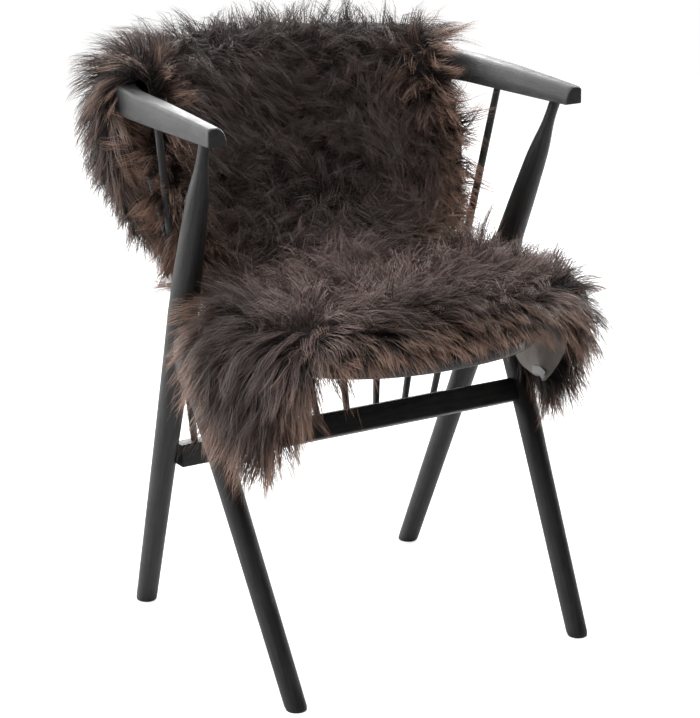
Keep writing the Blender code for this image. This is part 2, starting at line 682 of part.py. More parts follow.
def build_locks(name, grid, normals, holder):
    """A strip of the fur's edge, with its locks grown out of the strip's outer face."""
    edge, start, end, per_step, length, lean, fall = LOCK_STRIPS[name]
    base, normal, out = rim(grid, normals, edge)
    first, last = round(start * (len(base) - 1)), round(end * (len(base) - 1))
    count = (last - first) * per_step
    places = np.linspace(first, last, count + 1)
    base, normal, out = (resample(v, places) for v in (base, normal, out))
    normal /= np.linalg.norm(normal, axis=1, keepdims=True)
    out /= np.linalg.norm(out, axis=1, keepdims=True)
    near = base + LOCK_ROOT * out
    far = near + LOCK_STRIP * out
    thick = LOCK_THICK * normal
    points = []
    for k in range(count + 1):
        points += [near[k], far[k], far[k] + thick[k], near[k] + thick[k]]
    faces = [(3, 2, 1, 0), tuple(4 * count + n for n in range(4))]
    chance = np.random.default_rng(len(name) + count)
    for k in range(count):
        low, high = 4 * k, 4 * (k + 1)
        faces.append((low, low + 1, high + 1, high))
        faces.append((low + 2, low + 3, high + 3, high + 2))
        faces.append((low + 3, low, high, high + 3))
        root = np.array([points[low + 1], points[high + 1], points[high + 2], points[low + 2]])
        middle = root.mean(axis=0)
        way = (out[k] + out[k + 1]) / 2 + lean * (normal[k] + normal[k + 1]) / 2
        way += np.array([0.0, 0.0, -fall]) + LOCK_STRAY * chance.standard_normal(3)
        way /= np.linalg.norm(way)
        reach = length * chance.uniform(*LOCK_REACH)
        belly = middle + way * reach * LOCK_BELLY + (root - middle) * LOCK_BELLY_WIDTH
        curl = way + np.array([0.0, 0.0, -LOCK_CURL * fall])
        tip = middle + reach * curl / np.linalg.norm(curl)
        own = len(points)
        points += list(belly) + [tip]
        ring = (low + 1, high + 1, high + 2, low + 2)
        for i in range(4):
            j = (i + 1) % 4
            faces.append((ring[i], ring[j], own + j, own + i))
            faces.append((own + i, own + j, own + 4))
    return add_piece(name, points, faces, "fur", holder, 60.0)


def build_label(grid, normals, holder):
    """A blank woven label stitched flat to the skin side of the right front lobe."""
    first, last = LABEL_COLUMNS
    rings = []
    for column in range(HIDE_COLUMNS - 1 - first, HIDE_COLUMNS - last):
        start, end = grid[LABEL_LINE, column], grid[LABEL_LINE + 1, column]
        out = -(normals[LABEL_LINE, column] + normals[LABEL_LINE + 1, column])
        out /= np.linalg.norm(out)
        sides = [start + share * (end - start) + LABEL_GAP * out for share in LABEL_SIDES]
        rings.append([sides[0], sides[1], sides[1] + LABEL_THICK * out, sides[0] + LABEL_THICK * out])
    points, faces = loft(rings)
    return add_piece("label", points, faces, "label", holder, 25.0)


def main():
    """Builds the chair and the rug in order."""
    clear_scene()
    holder = bpy.data.objects.new("chair_frame", None)
    holder.location = (CHAIR_X, CHAIR_Y, 0.0)
    bpy.context.scene.collection.objects.link(holder)
    for side, word in ((-1, "left"), (1, "right")):
        build_rear_leg("rear_leg_" + word, side, holder)
        build_front_leg("front_leg_" + word, side, holder)
    build_rail(holder)
    build_spindles(holder)
    build_bar("stretcher_rear", STRETCHER_REAR, STRETCHER_REAR_HALF, holder)
    build_bar("stretcher_front", STRETCHER_FRONT, STRETCHER_FRONT_HALF, holder)
    build_bar("seat_rail", SEAT_RAIL, SEAT_RAIL_HALF, holder)
    build_seat(holder)
    grid = clear_seat(hide_grid())
    normals = grid_normals(grid)
    build_sheepskin(grid, normals, holder)
    for name in LOCK_STRIPS:
        build_locks(name, grid, normals, holder)
    build_label(grid, normals, holder)


main()
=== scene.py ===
"""Sheepskin rug thrown over a slim wooden dining chair with arms, dressed for the render.

Metres, +Z up; the chair faces -Y.  Sizes are in the chair's own frame, whose origin is on
the floor in the middle of the four feet.  Each finished mesh is moved by CHAIR_SHIFT into
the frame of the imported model.
"""

import logging
import math
from dataclasses import dataclass
from enum import Enum
from functools import cache

import bmesh
import bpy
import numpy as np
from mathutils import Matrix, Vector


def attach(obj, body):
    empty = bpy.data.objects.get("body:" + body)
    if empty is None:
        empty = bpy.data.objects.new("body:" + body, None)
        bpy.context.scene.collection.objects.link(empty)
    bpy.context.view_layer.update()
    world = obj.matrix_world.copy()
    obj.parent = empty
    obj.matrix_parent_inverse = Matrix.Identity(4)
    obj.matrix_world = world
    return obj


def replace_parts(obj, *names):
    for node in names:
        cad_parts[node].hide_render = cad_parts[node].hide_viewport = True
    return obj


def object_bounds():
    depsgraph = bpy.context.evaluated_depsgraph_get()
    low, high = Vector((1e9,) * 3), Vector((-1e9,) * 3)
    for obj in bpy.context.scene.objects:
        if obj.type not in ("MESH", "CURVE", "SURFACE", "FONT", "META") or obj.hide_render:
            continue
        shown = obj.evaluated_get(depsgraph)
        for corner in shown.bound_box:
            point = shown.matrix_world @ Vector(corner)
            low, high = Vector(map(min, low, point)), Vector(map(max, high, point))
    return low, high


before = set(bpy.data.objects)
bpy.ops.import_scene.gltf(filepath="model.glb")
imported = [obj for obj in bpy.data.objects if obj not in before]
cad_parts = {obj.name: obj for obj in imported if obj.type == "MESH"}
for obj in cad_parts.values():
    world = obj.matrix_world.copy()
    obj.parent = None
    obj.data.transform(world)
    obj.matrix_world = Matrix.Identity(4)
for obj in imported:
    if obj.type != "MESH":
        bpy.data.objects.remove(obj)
CAD_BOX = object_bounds()

LOG = logging.getLogger("sheepskin_chair")
Array = np.ndarray
Colour = tuple[float, float, float]
Point = tuple[float, float, float]
Span = tuple[float, float]
Patch = tuple[float, float, float]  # scale of the noise, lowest and highest value
Socket = bpy.types.NodeSocket

BODY = "root"
CHAIR_SHIFT = np.array([-0.002, -0.048, 0.0])
UP = np.array([0.0, 0.0, 1.0])
FULL_TURN = 2.0 * math.pi


class Side(Enum):
    """Left and right in a view of the chair from in front."""

    LEFT = -1
    RIGHT = 1

    @property
    def word(self) -> str:
        """The side's name in the names of the CAD nodes."""
        return self.name.lower()


# Arrays

def smooth_step(t: Array) -> Array:
    """0 below 0, 1 above 1, and 3t^2 - 2t^3 between."""
    t = np.clip(t, 0.0, 1.0)
    return t * t * (3.0 - 2.0 * t)


def ramp(place: Array, start: float, length: float) -> Array:
    """A smooth step that rises from 0 at start to 1 a length further on."""
    return smooth_step((place - start) / length)


def unit(vectors: Array) -> Array:
    """Each vector of the last axis divided by its length."""
    return vectors / np.maximum(np.linalg.norm(vectors, axis=-1, keepdims=True), 1e-12)


def running_length(points: Array) -> Array:
    """Length walked along the rows of points, 0 at the first one."""
    steps = np.linalg.norm(np.diff(points, axis=0), axis=-1)
    return np.concatenate([np.zeros((1, *steps.shape[1:])), np.cumsum(steps, axis=0)])


def column(table: tuple, place: Array, index: int) -> Array:
    """One column of a table at places between its rows, whose first column is the place."""
    rows = np.array(table)
    return np.interp(place, rows[:, 0], rows[:, index])


def soften(values: Array, width: int) -> Array:
    """A running mean over width neighbours, with the ends held."""
    wide = np.pad(values, width // 2, mode="edge")
    return np.convolve(wide, np.ones(width) / width, mode="valid")


# Meshes

def new_piece(
    name: str,
    points: Array,
    blocks: list[Array],
    finishes: list["Finish"],
    corner_uv: Array | None = None,
    values: dict[str, Array] | None = None,
    block_finish: Array | None = None,
) -> bpy.types.Object:
    """Makes one named object on the chair from arrays and puts it on the CAD body.

    Args:
        name: Name of the piece.
        points: Points in the chair's frame, n by 3.
        blocks: Faces as arrays of point numbers, one array for each count of corners.
        finishes: Finishes of the piece, each in a material slot of its own.
        corner_uv: UV of each face corner, in metres, in the order of the blocks.
        values: Named numbers for each point, which the material reads.
        block_finish: Number of the finish for each face.

    Returns:
        The object, at the origin, unturned and unscaled.
    """
    corners = np.concatenate([b.ravel() for b in blocks]).astype(np.int32)
    counts = np.concatenate([np.full(len(b), b.shape[1]) for b in blocks])
    starts = np.concatenate([[0], np.cumsum(counts)[:-1]]).astype(np.int32)
    mesh = bpy.data.meshes.new(name)
    mesh.vertices.add(len(points))
    mesh.vertices.foreach_set("co", (points + CHAIR_SHIFT).astype(np.float32).ravel())
    mesh.loops.add(len(corners))
    mesh.loops.foreach_set("vertex_index", corners)
    mesh.polygons.add(len(counts))
    mesh.polygons.foreach_set("loop_start", starts)
    if block_finish is not None:
        mesh.polygons.foreach_set("material_index", block_finish.astype(np.int32))
    mesh.update(calc_edges=True)
    if corner_uv is not None:
        layer = mesh.uv_layers.new(name="surface")
        layer.data.foreach_set("uv", corner_uv.astype(np.float32).ravel())
    for label, numbers in (values or {}).items():
        attribute = mesh.attributes.new(label, "FLOAT", "POINT")
        attribute.data.foreach_set("value", numbers.astype(np.float32).ravel())
    mesh.shade_smooth()
    for finish in finishes:
        mesh.materials.append(finish.material())
    piece = bpy.data.objects.new(name, mesh)
    bpy.context.scene.collection.objects.link(piece)
    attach(piece, BODY)
    LOG.info("%s: %d faces", name, len(counts))
    return piece


def face_outwards(piece: bpy.types.Object, crease: float) -> None:
    """Turns the faces of a closed piece outwards and keeps edges past crease degrees sharp."""
    work = bmesh.new()
    work.from_mesh(piece.data)
    bmesh.ops.recalc_face_normals(work, faces=work.faces)
    work.to_mesh(piece.data)
    work.free()
    piece.data.set_sharp_from_angle(angle=math.radians(crease))


EDGE_RADIUS = 0.0015  # a corner this tight counts as a full edge


def swept_piece(
    name: str, rings: Array, finish: "Finish", crease: float = 40.0
) -> bpy.types.Object:
    """The closed solid through rings of points, with a pole in the middle of each end.

    The surface is P(i, j), ring i by place j round it.  Its UV is the length along the
    middle of the rings by the length round a mean ring, so that grain follows the piece.
    The value "edge" is the turn between neighbouring sides divided by their length, times
    EDGE_RADIUS, from 0 on flats to 1 on corners.

    Args:
        name: Name of the piece.
        rings: Points, rings by places round by 3.
        finish: Finish of the piece.
        crease: Angle in degrees past which an edge is sharp.

    Returns:
        The piece.
    """
    n, m = rings.shape[:2]
    ends = rings[[0, -1]].mean(axis=1)
    points = np.concatenate([rings.reshape(-1, 3), ends])
    index = np.arange(n * m).reshape(n, m)
    onward = np.roll(index, -1, axis=1)
    sides = np.stack([index[:-1], onward[:-1], onward[1:], index[1:]], -1).reshape(-1, 4)
    low = np.stack([onward[0], index[0], np.full(m, n * m)], -1)
    high = np.stack([index[-1], onward[-1], np.full(m, n * m + 1)], -1)
    along = running_length(rings.mean(axis=1))
    edges = np.roll(rings, -1, axis=1) - rings
    lengths = np.linalg.norm(edges, axis=2)
    around = np.concatenate([[0.0], np.cumsum(lengths.mean(axis=0))])
    u = np.broadcast_to(along[:, None], (n, m + 1))
    v = np.broadcast_to(around[None, :], (n, m + 1))
    grid = np.stack([u, v], -1)
    side_uv = np.stack([grid[:-1, :-1], grid[:-1, 1:], grid[1:, 1:], grid[1:, :-1]], 2)
    caps = []
    for ring, swap in ((0, True), (-1, False)):
        first, second = grid[ring, :-1], grid[ring, 1:]
        middle = (first + second) / 2
        pair = [second, first] if swap else [first, second]
        caps.append(np.stack([*pair, middle], 1).reshape(-1, 2))
    corner_uv = np.concatenate([side_uv.reshape(-1, 2), *caps])
    before = np.roll(edges, 1, axis=1)
    bend = np.linalg.norm(np.cross(unit(before), unit(edges)), axis=2)
    reach = (lengths + np.roll(lengths, 1, axis=1)) / 2
    edge = np.clip(bend / np.maximum(reach, 1e-5) * EDGE_RADIUS, 0.0, 1.0)
    edge = np.concatenate([edge.ravel(), [0.0, 0.0]])
    piece = new_piece(name, points, [sides, low, high], [finish], corner_uv, {"edge": edge})
    face_outwards(piece, crease)
    return piece


# Materials

class Graph:
    """Adds nodes to one node tree and links them."""

    def __init__(self, tree: bpy.types.NodeTree) -> None:
        """Keeps the tree that the nodes go into."""
        self.tree = tree

    def add(self, kind: str, inputs: dict | None = None, **settings) -> bpy.types.Node:
        """Adds one node.

        Args:
            kind: Blender's name of the node's type, without "ShaderNode".
            inputs: Sockets by name or number, each with a value or another node's output.
            **settings: Properties of the node.

        Returns:
            The node.
        """
        node = self.tree.nodes.new("ShaderNode" + kind)
        for name, value in settings.items():
            setattr(node, name, value)
        for name, value in (inputs or {}).items():
            self.feed(node, name, value)
        return node

    def feed(self, node: bpy.types.Node, name: str | int, value: object) -> None:
        """Sets a socket to a value, or links another node's output to it."""
        if isinstance(value, bpy.types.NodeSocket):
            self.tree.links.new(value, node.inputs[name])
        else:
            node.inputs[name].default_value = value

    def math(self, operation: str, first: object, second: object = 0.0) -> Socket:
        """The result of a Math node on two numbers."""
        return self.add("Math", {0: first, 1: second}, operation=operation).outputs[0]

    def mix(self, share: object, first: object, second: object) -> Socket:
        """The colour between two colours, at a share from 0 to 1."""
        inputs = {0: share, 6: first, 7: second}
        return self.add("Mix", inputs, data_type="RGBA", clamp_factor=True).outputs[2]

    def spread(self, value: Socket, span: Span, low: object = 0.0, high: object = 1.0) -> Socket:
        """A value with its span stretched from low to high, and the ends held."""
        inputs = {"Value": value, "From Min": span[0], "From Max": span[1],
                  "To Min": low, "To Max": high}
        return self.add("MapRange", inputs).outputs[0]

    def group(self, tree: bpy.types.NodeTree, inputs: dict) -> Socket:
        """Places a shared effect with its own values, and gives its result."""
        node = self.tree.nodes.new("ShaderNodeGroup")
        node.node_tree = tree
        for name, value in inputs.items():
            self.feed(node, name, value)
        return node.outputs[0]


def rgba(colour: Colour) -> tuple[float, float, float, float]:
    """A colour with full alpha."""
    return (*colour, 1.0)


def new_group(name: str, takes: dict[str, object]) -> tuple[Graph, bpy.types.Node, bpy.types.Node]:
    """Starts a shared effect with one output, Value.

    Args:
        name: Name of the group.
        takes: Its inputs; None makes a vector, a number makes a float with that default.

    Returns:
        The group's graph, its input node and its output node.
    """
    tree = bpy.data.node_groups.new(name, "ShaderNodeTree")
    for label, default in takes.items():
        kind = "NodeSocketVector" if default is None else "NodeSocketFloat"
        socket = tree.interface.new_socket(name=label, in_out="INPUT", socket_type=kind)
        if default is not None:
            socket.default_value = default
    tree.interface.new_socket(name="Value", in_out="OUTPUT", socket_type="NodeSocketFloat")
    inside = tree.nodes.new("NodeGroupInput")
    outside = tree.nodes.new("NodeGroupOutput")
    return Graph(tree), inside, outside


MOTTLE_SPAN = (0.32, 0.68)  # most of what the noise puts out
MOTTLE_DETAIL = 3.0
WEAR_PATCHES = {"Detail": 4.0, "Low": 0.1, "High": 1.0}
FIBRE_ROUGHNESS = 0.6


@cache
def mottle_group() -> bpy.types.NodeTree:
    """Soft patches: noise of a given scale, spread over the range from Low to High."""
    takes = {"Vector": None, "Scale": 20.0, "Detail": MOTTLE_DETAIL, "Low": 0.0, "High": 1.0}
    graph, inside, outside = new_group("mottle", takes)
    noise = graph.add("TexNoise", {
        label: inside.outputs[label] for label in ("Vector", "Scale", "Detail")
    })
    low, high = inside.outputs["Low"], inside.outputs["High"]
    graph.feed(outside, "Value", graph.spread(noise.outputs[0], MOTTLE_SPAN, low, high))
    return graph.tree


@cache
def fibre_group() -> bpy.types.NodeTree:
    """Fine lines that run along U: noise whose pattern is Stretch times longer that way."""
    takes = {"Vector": None, "Scale": 900.0, "Stretch": 0.03, "Detail": 2.0}
    graph, inside, outside = new_group("fibre", takes)
    squeeze = graph.add("CombineXYZ", {"X": inside.outputs["Stretch"], "Y": 1.0, "Z": 1.0})
    factors = {0: inside.outputs["Vector"], 1: squeeze.outputs[0]}
    drawn = graph.add("VectorMath", factors, operation="MULTIPLY")
    noise = graph.add("TexNoise", {
        "Vector": drawn.outputs[0],
        "Scale": inside.outputs["Scale"],
        "Detail": inside.outputs["Detail"],
        "Roughness": FIBRE_ROUGHNESS,
    })
    graph.feed(outside, "Value", noise.outputs[0])
    return graph.tree


@cache
def wear_group() -> bpy.types.NodeTree:
    """Worn edges: the value of an edge, broken up by patches and scaled by Amount; on wood and
    leather this also places a painted highlight.
    """
    takes = {"Vector": None, "Edge": 0.0, "Scale": 60.0, "Amount": 0.5}
    graph, inside, outside = new_group("wear", takes)
    where = {"Vector": inside.outputs["Vector"], "Scale": inside.outputs["Scale"]}
    patches = graph.group(mottle_group(), {**where, **WEAR_PATCHES})
    broken = graph.math("MULTIPLY", inside.outputs["Edge"], patches)
    graph.feed(outside, "Value", graph.math("MULTIPLY", broken, inside.outputs["Amount"]))
    return graph.tree


@dataclass(frozen=True)
class Finish:
    """A finish: a procedural material and the record's slot that it belongs to."""

    name: str
    slot: str
    gloss: Patch = (40.0, 0.5, 0.7)
    depth: float = 0.0003
    strength: float = 0.7
    wear: float = 0.5

    def material(self) -> bpy.types.Material:
        """The finish's material, made once."""
        name = "finish_" + self.name
        found = bpy.data.materials.get(name)
        if found:
            return found
        made = bpy.data.materials.new(name)
        made.use_nodes = True
        graph = Graph(made.node_tree)
        place = graph.add("TexCoord").outputs["Object"]
        self.dress(graph, made.node_tree.nodes["Principled BSDF"], place)
        return made

    def dress(self, graph: Graph, shader: bpy.types.Node, place: Socket) -> None:
        """Adds the finish's own nodes to its Principled shader, at Object coordinates."""
        raise NotImplementedError

    def patches(self, graph: Graph, place: Socket, patch: Patch) -> Socket:
        """Soft patches of one scale, from a lowest to a highest value."""
        scale, low, high = patch
        values = {"Vector": place, "Scale": scale, "Low": low, "High": high}
        return graph.group(mottle_group(), values)

    def attribute(self, graph: Graph, name: str) -> Socket:
        """A piece's own number at each point."""
        return graph.add("Attribute", attribute_name=name).outputs["Fac"]

    def worn(self, graph: Graph, place: Socket) -> Socket:
        """How far the edges are worn; on wood and leather this also places a painted highlight."""
        edge = self.attribute(graph, "edge")
        return graph.group(wear_group(), {"Vector": place, "Edge": edge, "Amount": self.wear})

    def relief(self, graph: Graph, shader: bpy.types.Node, height: Socket) -> None:
        """Raises the surface by a height from 0 to about 1, times the finish's depth."""
        values = {"Height": height, "Distance": self.depth, "Strength": self.strength}
        graph.feed(shader, "Normal", graph.add("Bump", values).outputs[0])


@dataclass(frozen=True)
class StainedWood(Finish):
    """Black-stained open-grained wood under a satin oil: pores, growth lines, worn edges lightened
    partly as a painted highlight.
    """

    name: str = "stained_wood"
    slot: str = "wood"
    gloss: Patch = (35.0, 0.42, 0.54)
    depth: float = 0.00022
    strength: float = 0.8
    wear: float = 0.55
    stain: Colour = (0.0060, 0.0060, 0.0064)
    bare: Colour = (0.0250, 0.0242, 0.0235)
    # lighter colour of the edges: worn wood and a painted highlight on the chamfers
    rubbed_and_highlight: Colour = (0.0700, 0.0680, 0.0650)
    pore_scale: float = 1400.0
    pore_stretch: float = 0.022
    pore_span: Span = (0.30, 0.52)
    pore_gloss: float = -0.10
    growth_scale: float = 190.0
    growth_stretch: float = 0.06
    growth_detail: float = 4.0
    growth_span: Span = (0.42, 0.66)
    growth_tint: float = 0.75
    growth_height: float = 0.35
    specular: float = 0.46

    def dress(self, graph: Graph, shader: bpy.types.Node, place: Socket) -> None:
        """Pores darken and dent, growth lines tint, edges show worn wood and a painted highlight.
        """
        surface = graph.add("UVMap", uv_map="surface").outputs[0]
        pores = graph.group(fibre_group(), {
            "Vector": surface, "Scale": self.pore_scale, "Stretch": self.pore_stretch,
        })
        growth = graph.group(fibre_group(), {
            "Vector": surface, "Scale": self.growth_scale, "Stretch": self.growth_stretch,
            "Detail": self.growth_detail,
        })
        lines = graph.spread(growth, self.growth_span, 0.0, self.growth_tint)
        open_pores = graph.spread(pores, self.pore_span)
        tint = graph.math("MULTIPLY", lines, open_pores)
        base = graph.mix(tint, rgba(self.stain), rgba(self.bare))
        # Lighter edges: partly worn wood, partly a painted highlight where the chamfers catch the
        # light.
        worn = self.worn(graph, place)
        graph.feed(shader, "Base Color", graph.mix(worn, base, rgba(self.rubbed_and_highlight)))
        dull = graph.math("MULTIPLY", open_pores, self.pore_gloss)
        satin = graph.math("ADD", self.patches(graph, place, self.gloss), dull)
        graph.feed(shader, "Roughness", satin)
        raised = graph.math("MULTIPLY", lines, self.growth_height)
        self.relief(graph, shader, graph.math("ADD", open_pores, raised))
        shader.inputs["Specular IOR Level"].default_value = self.specular


@dataclass(frozen=True)
class BlackLeather(Finish):
    """Smooth black leather: fine pebbles, long soft creases, a painted highlight on the lip's worn
    edge.
    """

    name: str = "black_leather"
    slot: str = "leather"
    gloss: Patch = (40.0, 0.34, 0.46)
    depth: float = 0.00025
    dye: Colour = (0.0085, 0.0085, 0.0095)
    # lighter colour for random clouds and for the edges, where it is also a painted highlight
    rubbed_and_highlight: Colour = (0.0330, 0.0320, 0.0320)
    clouds: Patch = (18.0, 0.0, 0.4)
    creases: Patch = (55.0, 0.0, 1.0)
    crease_height: float = 0.9
    pebble: float = 620.0
    pebble_height: float = 0.5

    def dress(self, graph: Graph, shader: bpy.types.Node, place: Socket) -> None:
        """Voronoi pebbles and noise creases in the bump, patches in the gloss."""
        cells = graph.add("TexVoronoi", {"Vector": place, "Scale": self.pebble})
        creases = self.patches(graph, place, self.creases)
        clouds = self.patches(graph, place, self.clouds)
        tone = graph.mix(clouds, rgba(self.dye), rgba(self.rubbed_and_highlight))
        # Lighter edges: partly wear, partly a painted highlight along the lip.
        worn = self.worn(graph, place)
        graph.feed(shader, "Base Color", graph.mix(worn, tone, rgba(self.rubbed_and_highlight)))
        graph.feed(shader, "Roughness", self.patches(graph, place, self.gloss))
        pebbles = graph.math("MULTIPLY", cells.outputs["Distance"], self.pebble_height)
        folded = graph.math("MULTIPLY", creases, self.crease_height)
        self.relief(graph, shader, graph.math("ADD", pebbles, folded))


@dataclass(frozen=True)
class TannedSkin(Finish):
    """The hide's skin side: pale grey-brown suede with a short nap and darker blotches."""

    name: str = "tanned_skin"
    slot: str = "fur"
    gloss: Patch = (90.0, 0.78, 0.95)
    pale: Colour = (0.360, 0.325, 0.290)
    blotch: Colour = (0.190, 0.160, 0.138)
    blotches: Patch = (30.0, 0.0, 0.8)
    nap: Patch = (1500.0, 0.0, 1.0)
    nap_tint: float = 0.3
    folds: Patch = (110.0, 0.0, 1.0)
    fold_height: float = 1.6
    sheen: Span = (0.25, 0.5)  # weight, roughness

    def dress(self, graph: Graph, shader: bpy.types.Node, place: Socket) -> None:
        """Blotches in the colour, nap and shallow folds in the bump."""
        blotches = self.patches(graph, place, self.blotches)
        nap = self.patches(graph, place, self.nap)
        base = graph.mix(blotches, rgba(self.pale), rgba(self.blotch))
        speckles = graph.math("MULTIPLY", nap, self.nap_tint)
        graph.feed(shader, "Base Color", graph.mix(speckles, base, rgba(self.blotch)))
        graph.feed(shader, "Roughness", self.patches(graph, place, self.gloss))
        folds = self.patches(graph, place, self.folds)
        raised = graph.math("MULTIPLY", folds, self.fold_height)
        self.relief(graph, shader, graph.math("ADD", nap, raised))
        weight, roughness = self.sheen
        shader.inputs["Sheen Weight"].default_value = weight
        shader.inputs["Sheen Roughness"].default_value = roughness


@dataclass(frozen=True)
class WoolBase(Finish):
    """The dense wool under the long locks, near-black between them as painted shade inside the
    pile.
    """

    name: str = "wool_base"
    slot: str = "fur"
    gloss: Patch = (200.0, 0.75, 0.95)
    depth: float = 0.004
    strength: float = 1.0
    # near-black between the clumps: painted shade inside the pile
    painted_shade: Colour = (0.0045, 0.0032, 0.0030)
    light: Colour = (0.0330, 0.0185, 0.0140)
    clumps: Patch = (130.0, 0.0, 1.0)
    curls: Patch = (420.0, 0.0, 1.0)
    curl_height: float = 0.5

    def dress(self, graph: Graph, shader: bpy.types.Node, place: Socket) -> None:
        """Clumps of wool in the colour and the bump; between the clumps the colour falls to
        painted shade.
        """
        clumps = self.patches(graph, place, self.clumps)
        curls = self.patches(graph, place, self.curls)
        both = graph.math("MULTIPLY", clumps, curls)
        graph.feed(shader, "Base Color", graph.mix(both, rgba(self.painted_shade), rgba(self.light)))
        graph.feed(shader, "Roughness", self.patches(graph, place, self.gloss))
        raised = graph.math("MULTIPLY", curls, self.curl_height)
        self.relief(graph, shader, graph.math("ADD", clumps, raised))


@dataclass(frozen=True)
class WoolFibre(Finish):
    """Long wool: near-black at the root, dark brown on the way, reddish-brown at the tip, with a
    painted highlight on the seat and a painted backlight glow on the tips at the rims.
    """

    name: str = "wool_fibre"
    slot: str = "fur"
    gloss: Patch = (300.0, 0.42, 0.62)
    depth: float = 0.0002
    strength: float = 0.4
    root: Colour = (0.0060, 0.0042, 0.0040)
    shade: Colour = (0.0372, 0.0316, 0.0308)
    brown: Colour = (0.0285, 0.0154, 0.0112)
    # colour of random clouds and of the painted highlight on the seat
    mauve_tone_and_highlight: Colour = (0.2600, 0.1850, 0.1740)
    # reddish-brown tip; at the rims it is also a painted backlight glow
    tip: Colour = (0.4600, 0.2850, 0.2100)
    root_end: Span = (0.10, 0.85)
    tip_start: Span = (0.42, 1.0)
    backlight_glow_at_rim: float = 0.92
    tip_inside: float = 0.08
    clouds: Patch = (16.0, 0.0, 0.35)
    seat_highlight_lift: float = 1.34
    scales: Patch = (900.0, 0.0, 1.0)
    specular: float = 0.35
    sheen: Span = (0.20, 0.35)  # weight, roughness
    sheen_tint: Colour = (0.75, 0.48, 0.38)

    def dress(self, graph: Graph, shader: bpy.types.Node, place: Socket) -> None:
        """Colour by the way from root to tip, by lock and by place on the hide, with painted light
        on the seat and at the rims.
        """
        way, tone, rim, seat, warm = (
            self.attribute(graph, name) for name in ("way", "tone", "rim", "seat", "warm")
        )
        clouds = self.patches(graph, place, self.clouds)
        # The seat's wool turns paler and pinkish grey as a painted highlight on its top.
        lifted = graph.math("MULTIPLY", seat, self.seat_highlight_lift)
        lit = graph.math("MULTIPLY", tone, graph.math("ADD", clouds, lifted))
        dark = graph.mix(warm, rgba(self.shade), rgba(self.brown))
        length = graph.mix(lit, dark, rgba(self.mauve_tone_and_highlight))
        stem = graph.spread(way, self.root_end)
        body = graph.mix(stem, rgba(self.root), length)
        # At the rims the tips take much more of the tip colour: a painted backlight glow through
        # the fibres.
        at_rim = graph.math("MULTIPLY", rim, self.backlight_glow_at_rim)
        share = graph.math("ADD", at_rim, self.tip_inside)
        ends = graph.math("MULTIPLY", graph.spread(way, self.tip_start), share)
        graph.feed(shader, "Base Color", graph.mix(ends, body, rgba(self.tip)))
        graph.feed(shader, "Roughness", self.patches(graph, place, self.gloss))
        self.relief(graph, shader, self.patches(graph, place, self.scales))
        weight, roughness = self.sheen
        shader.inputs["Specular IOR Level"].default_value = self.specular
        shader.inputs["Sheen Weight"].default_value = weight
        shader.inputs["Sheen Roughness"].default_value = roughness
        shader.inputs["Sheen Tint"].default_value = rgba(self.sheen_tint)


@dataclass(frozen=True)
class WovenTape(Finish):
    """The blank label: pale satin tape with a fine weave and a slightly darker hem."""

    name: str = "woven_tape"
    slot: str = "label"
    gloss: Patch = (160.0, 0.5, 0.7)
    depth: float = 0.00012
    strength: float = 0.6
    wear: float = 0.6
    thread: Colour = (0.740, 0.735, 0.720)
    gap: Colour = (0.420, 0.410, 0.395)
    threads: float = 5200.0

    def dress(self, graph: Graph, shader: bpy.types.Node, place: Socket) -> None:
        """Two crossed waves make the weave, in the colour and the bump."""
        surface = graph.add("UVMap", uv_map="surface").outputs[0]
        inputs = {"Vector": surface, "Scale": self.threads / FULL_TURN}
        waves = [graph.add("TexWave", inputs, bands_direction=way) for way in ("X", "Y")]
        weave = graph.math("MULTIPLY", *(wave.outputs["Fac"] for wave in waves))
        cloth = graph.mix(weave, rgba(self.gap), rgba(self.thread))
        hem = self.worn(graph, place)
        graph.feed(shader, "Base Color", graph.mix(hem, cloth, rgba(self.gap)))
        graph.feed(shader, "Roughness", self.patches(graph, place, self.gloss))
        self.relief(graph, shader, weave)


@dataclass(frozen=True)
class PaperFloor(Finish):
    """The studio's pale seamless paper."""

    name: str = "paper_floor"
    slot: str = "wood"
    gloss: Patch = (30.0, 0.85, 0.95)
    pale: Colour = (0.42, 0.42, 0.42)
    darker: Colour = (0.40, 0.40, 0.40)
    clouds: Patch = (4.0, 0.0, 0.05)
    glow: float = 0.67

    def dress(self, graph: Graph, shader: bpy.types.Node, place: Socket) -> None:
        """Matt paper with faint clouds, and a little light of its own."""
        clouds = self.patches(graph, place, self.clouds)
        graph.feed(shader, "Base Color", graph.mix(clouds, rgba(self.pale), rgba(self.darker)))
        graph.feed(shader, "Roughness", self.patches(graph, place, self.gloss))
        shader.inputs["Emission Color"].default_value = (1.0, 1.0, 1.0, 1.0)
        seen = graph.add("LightPath").outputs["Is Camera Ray"]
        graph.feed(shader, "Emission Strength", graph.math("MULTIPLY", seen, self.glow))


WOOD = StainedWood()
LEATHER = BlackLeather()
SKIN = TannedSkin()
UNDERWOOL = WoolBase()
WOOL = WoolFibre()
TAPE = WovenTape()


# The chair

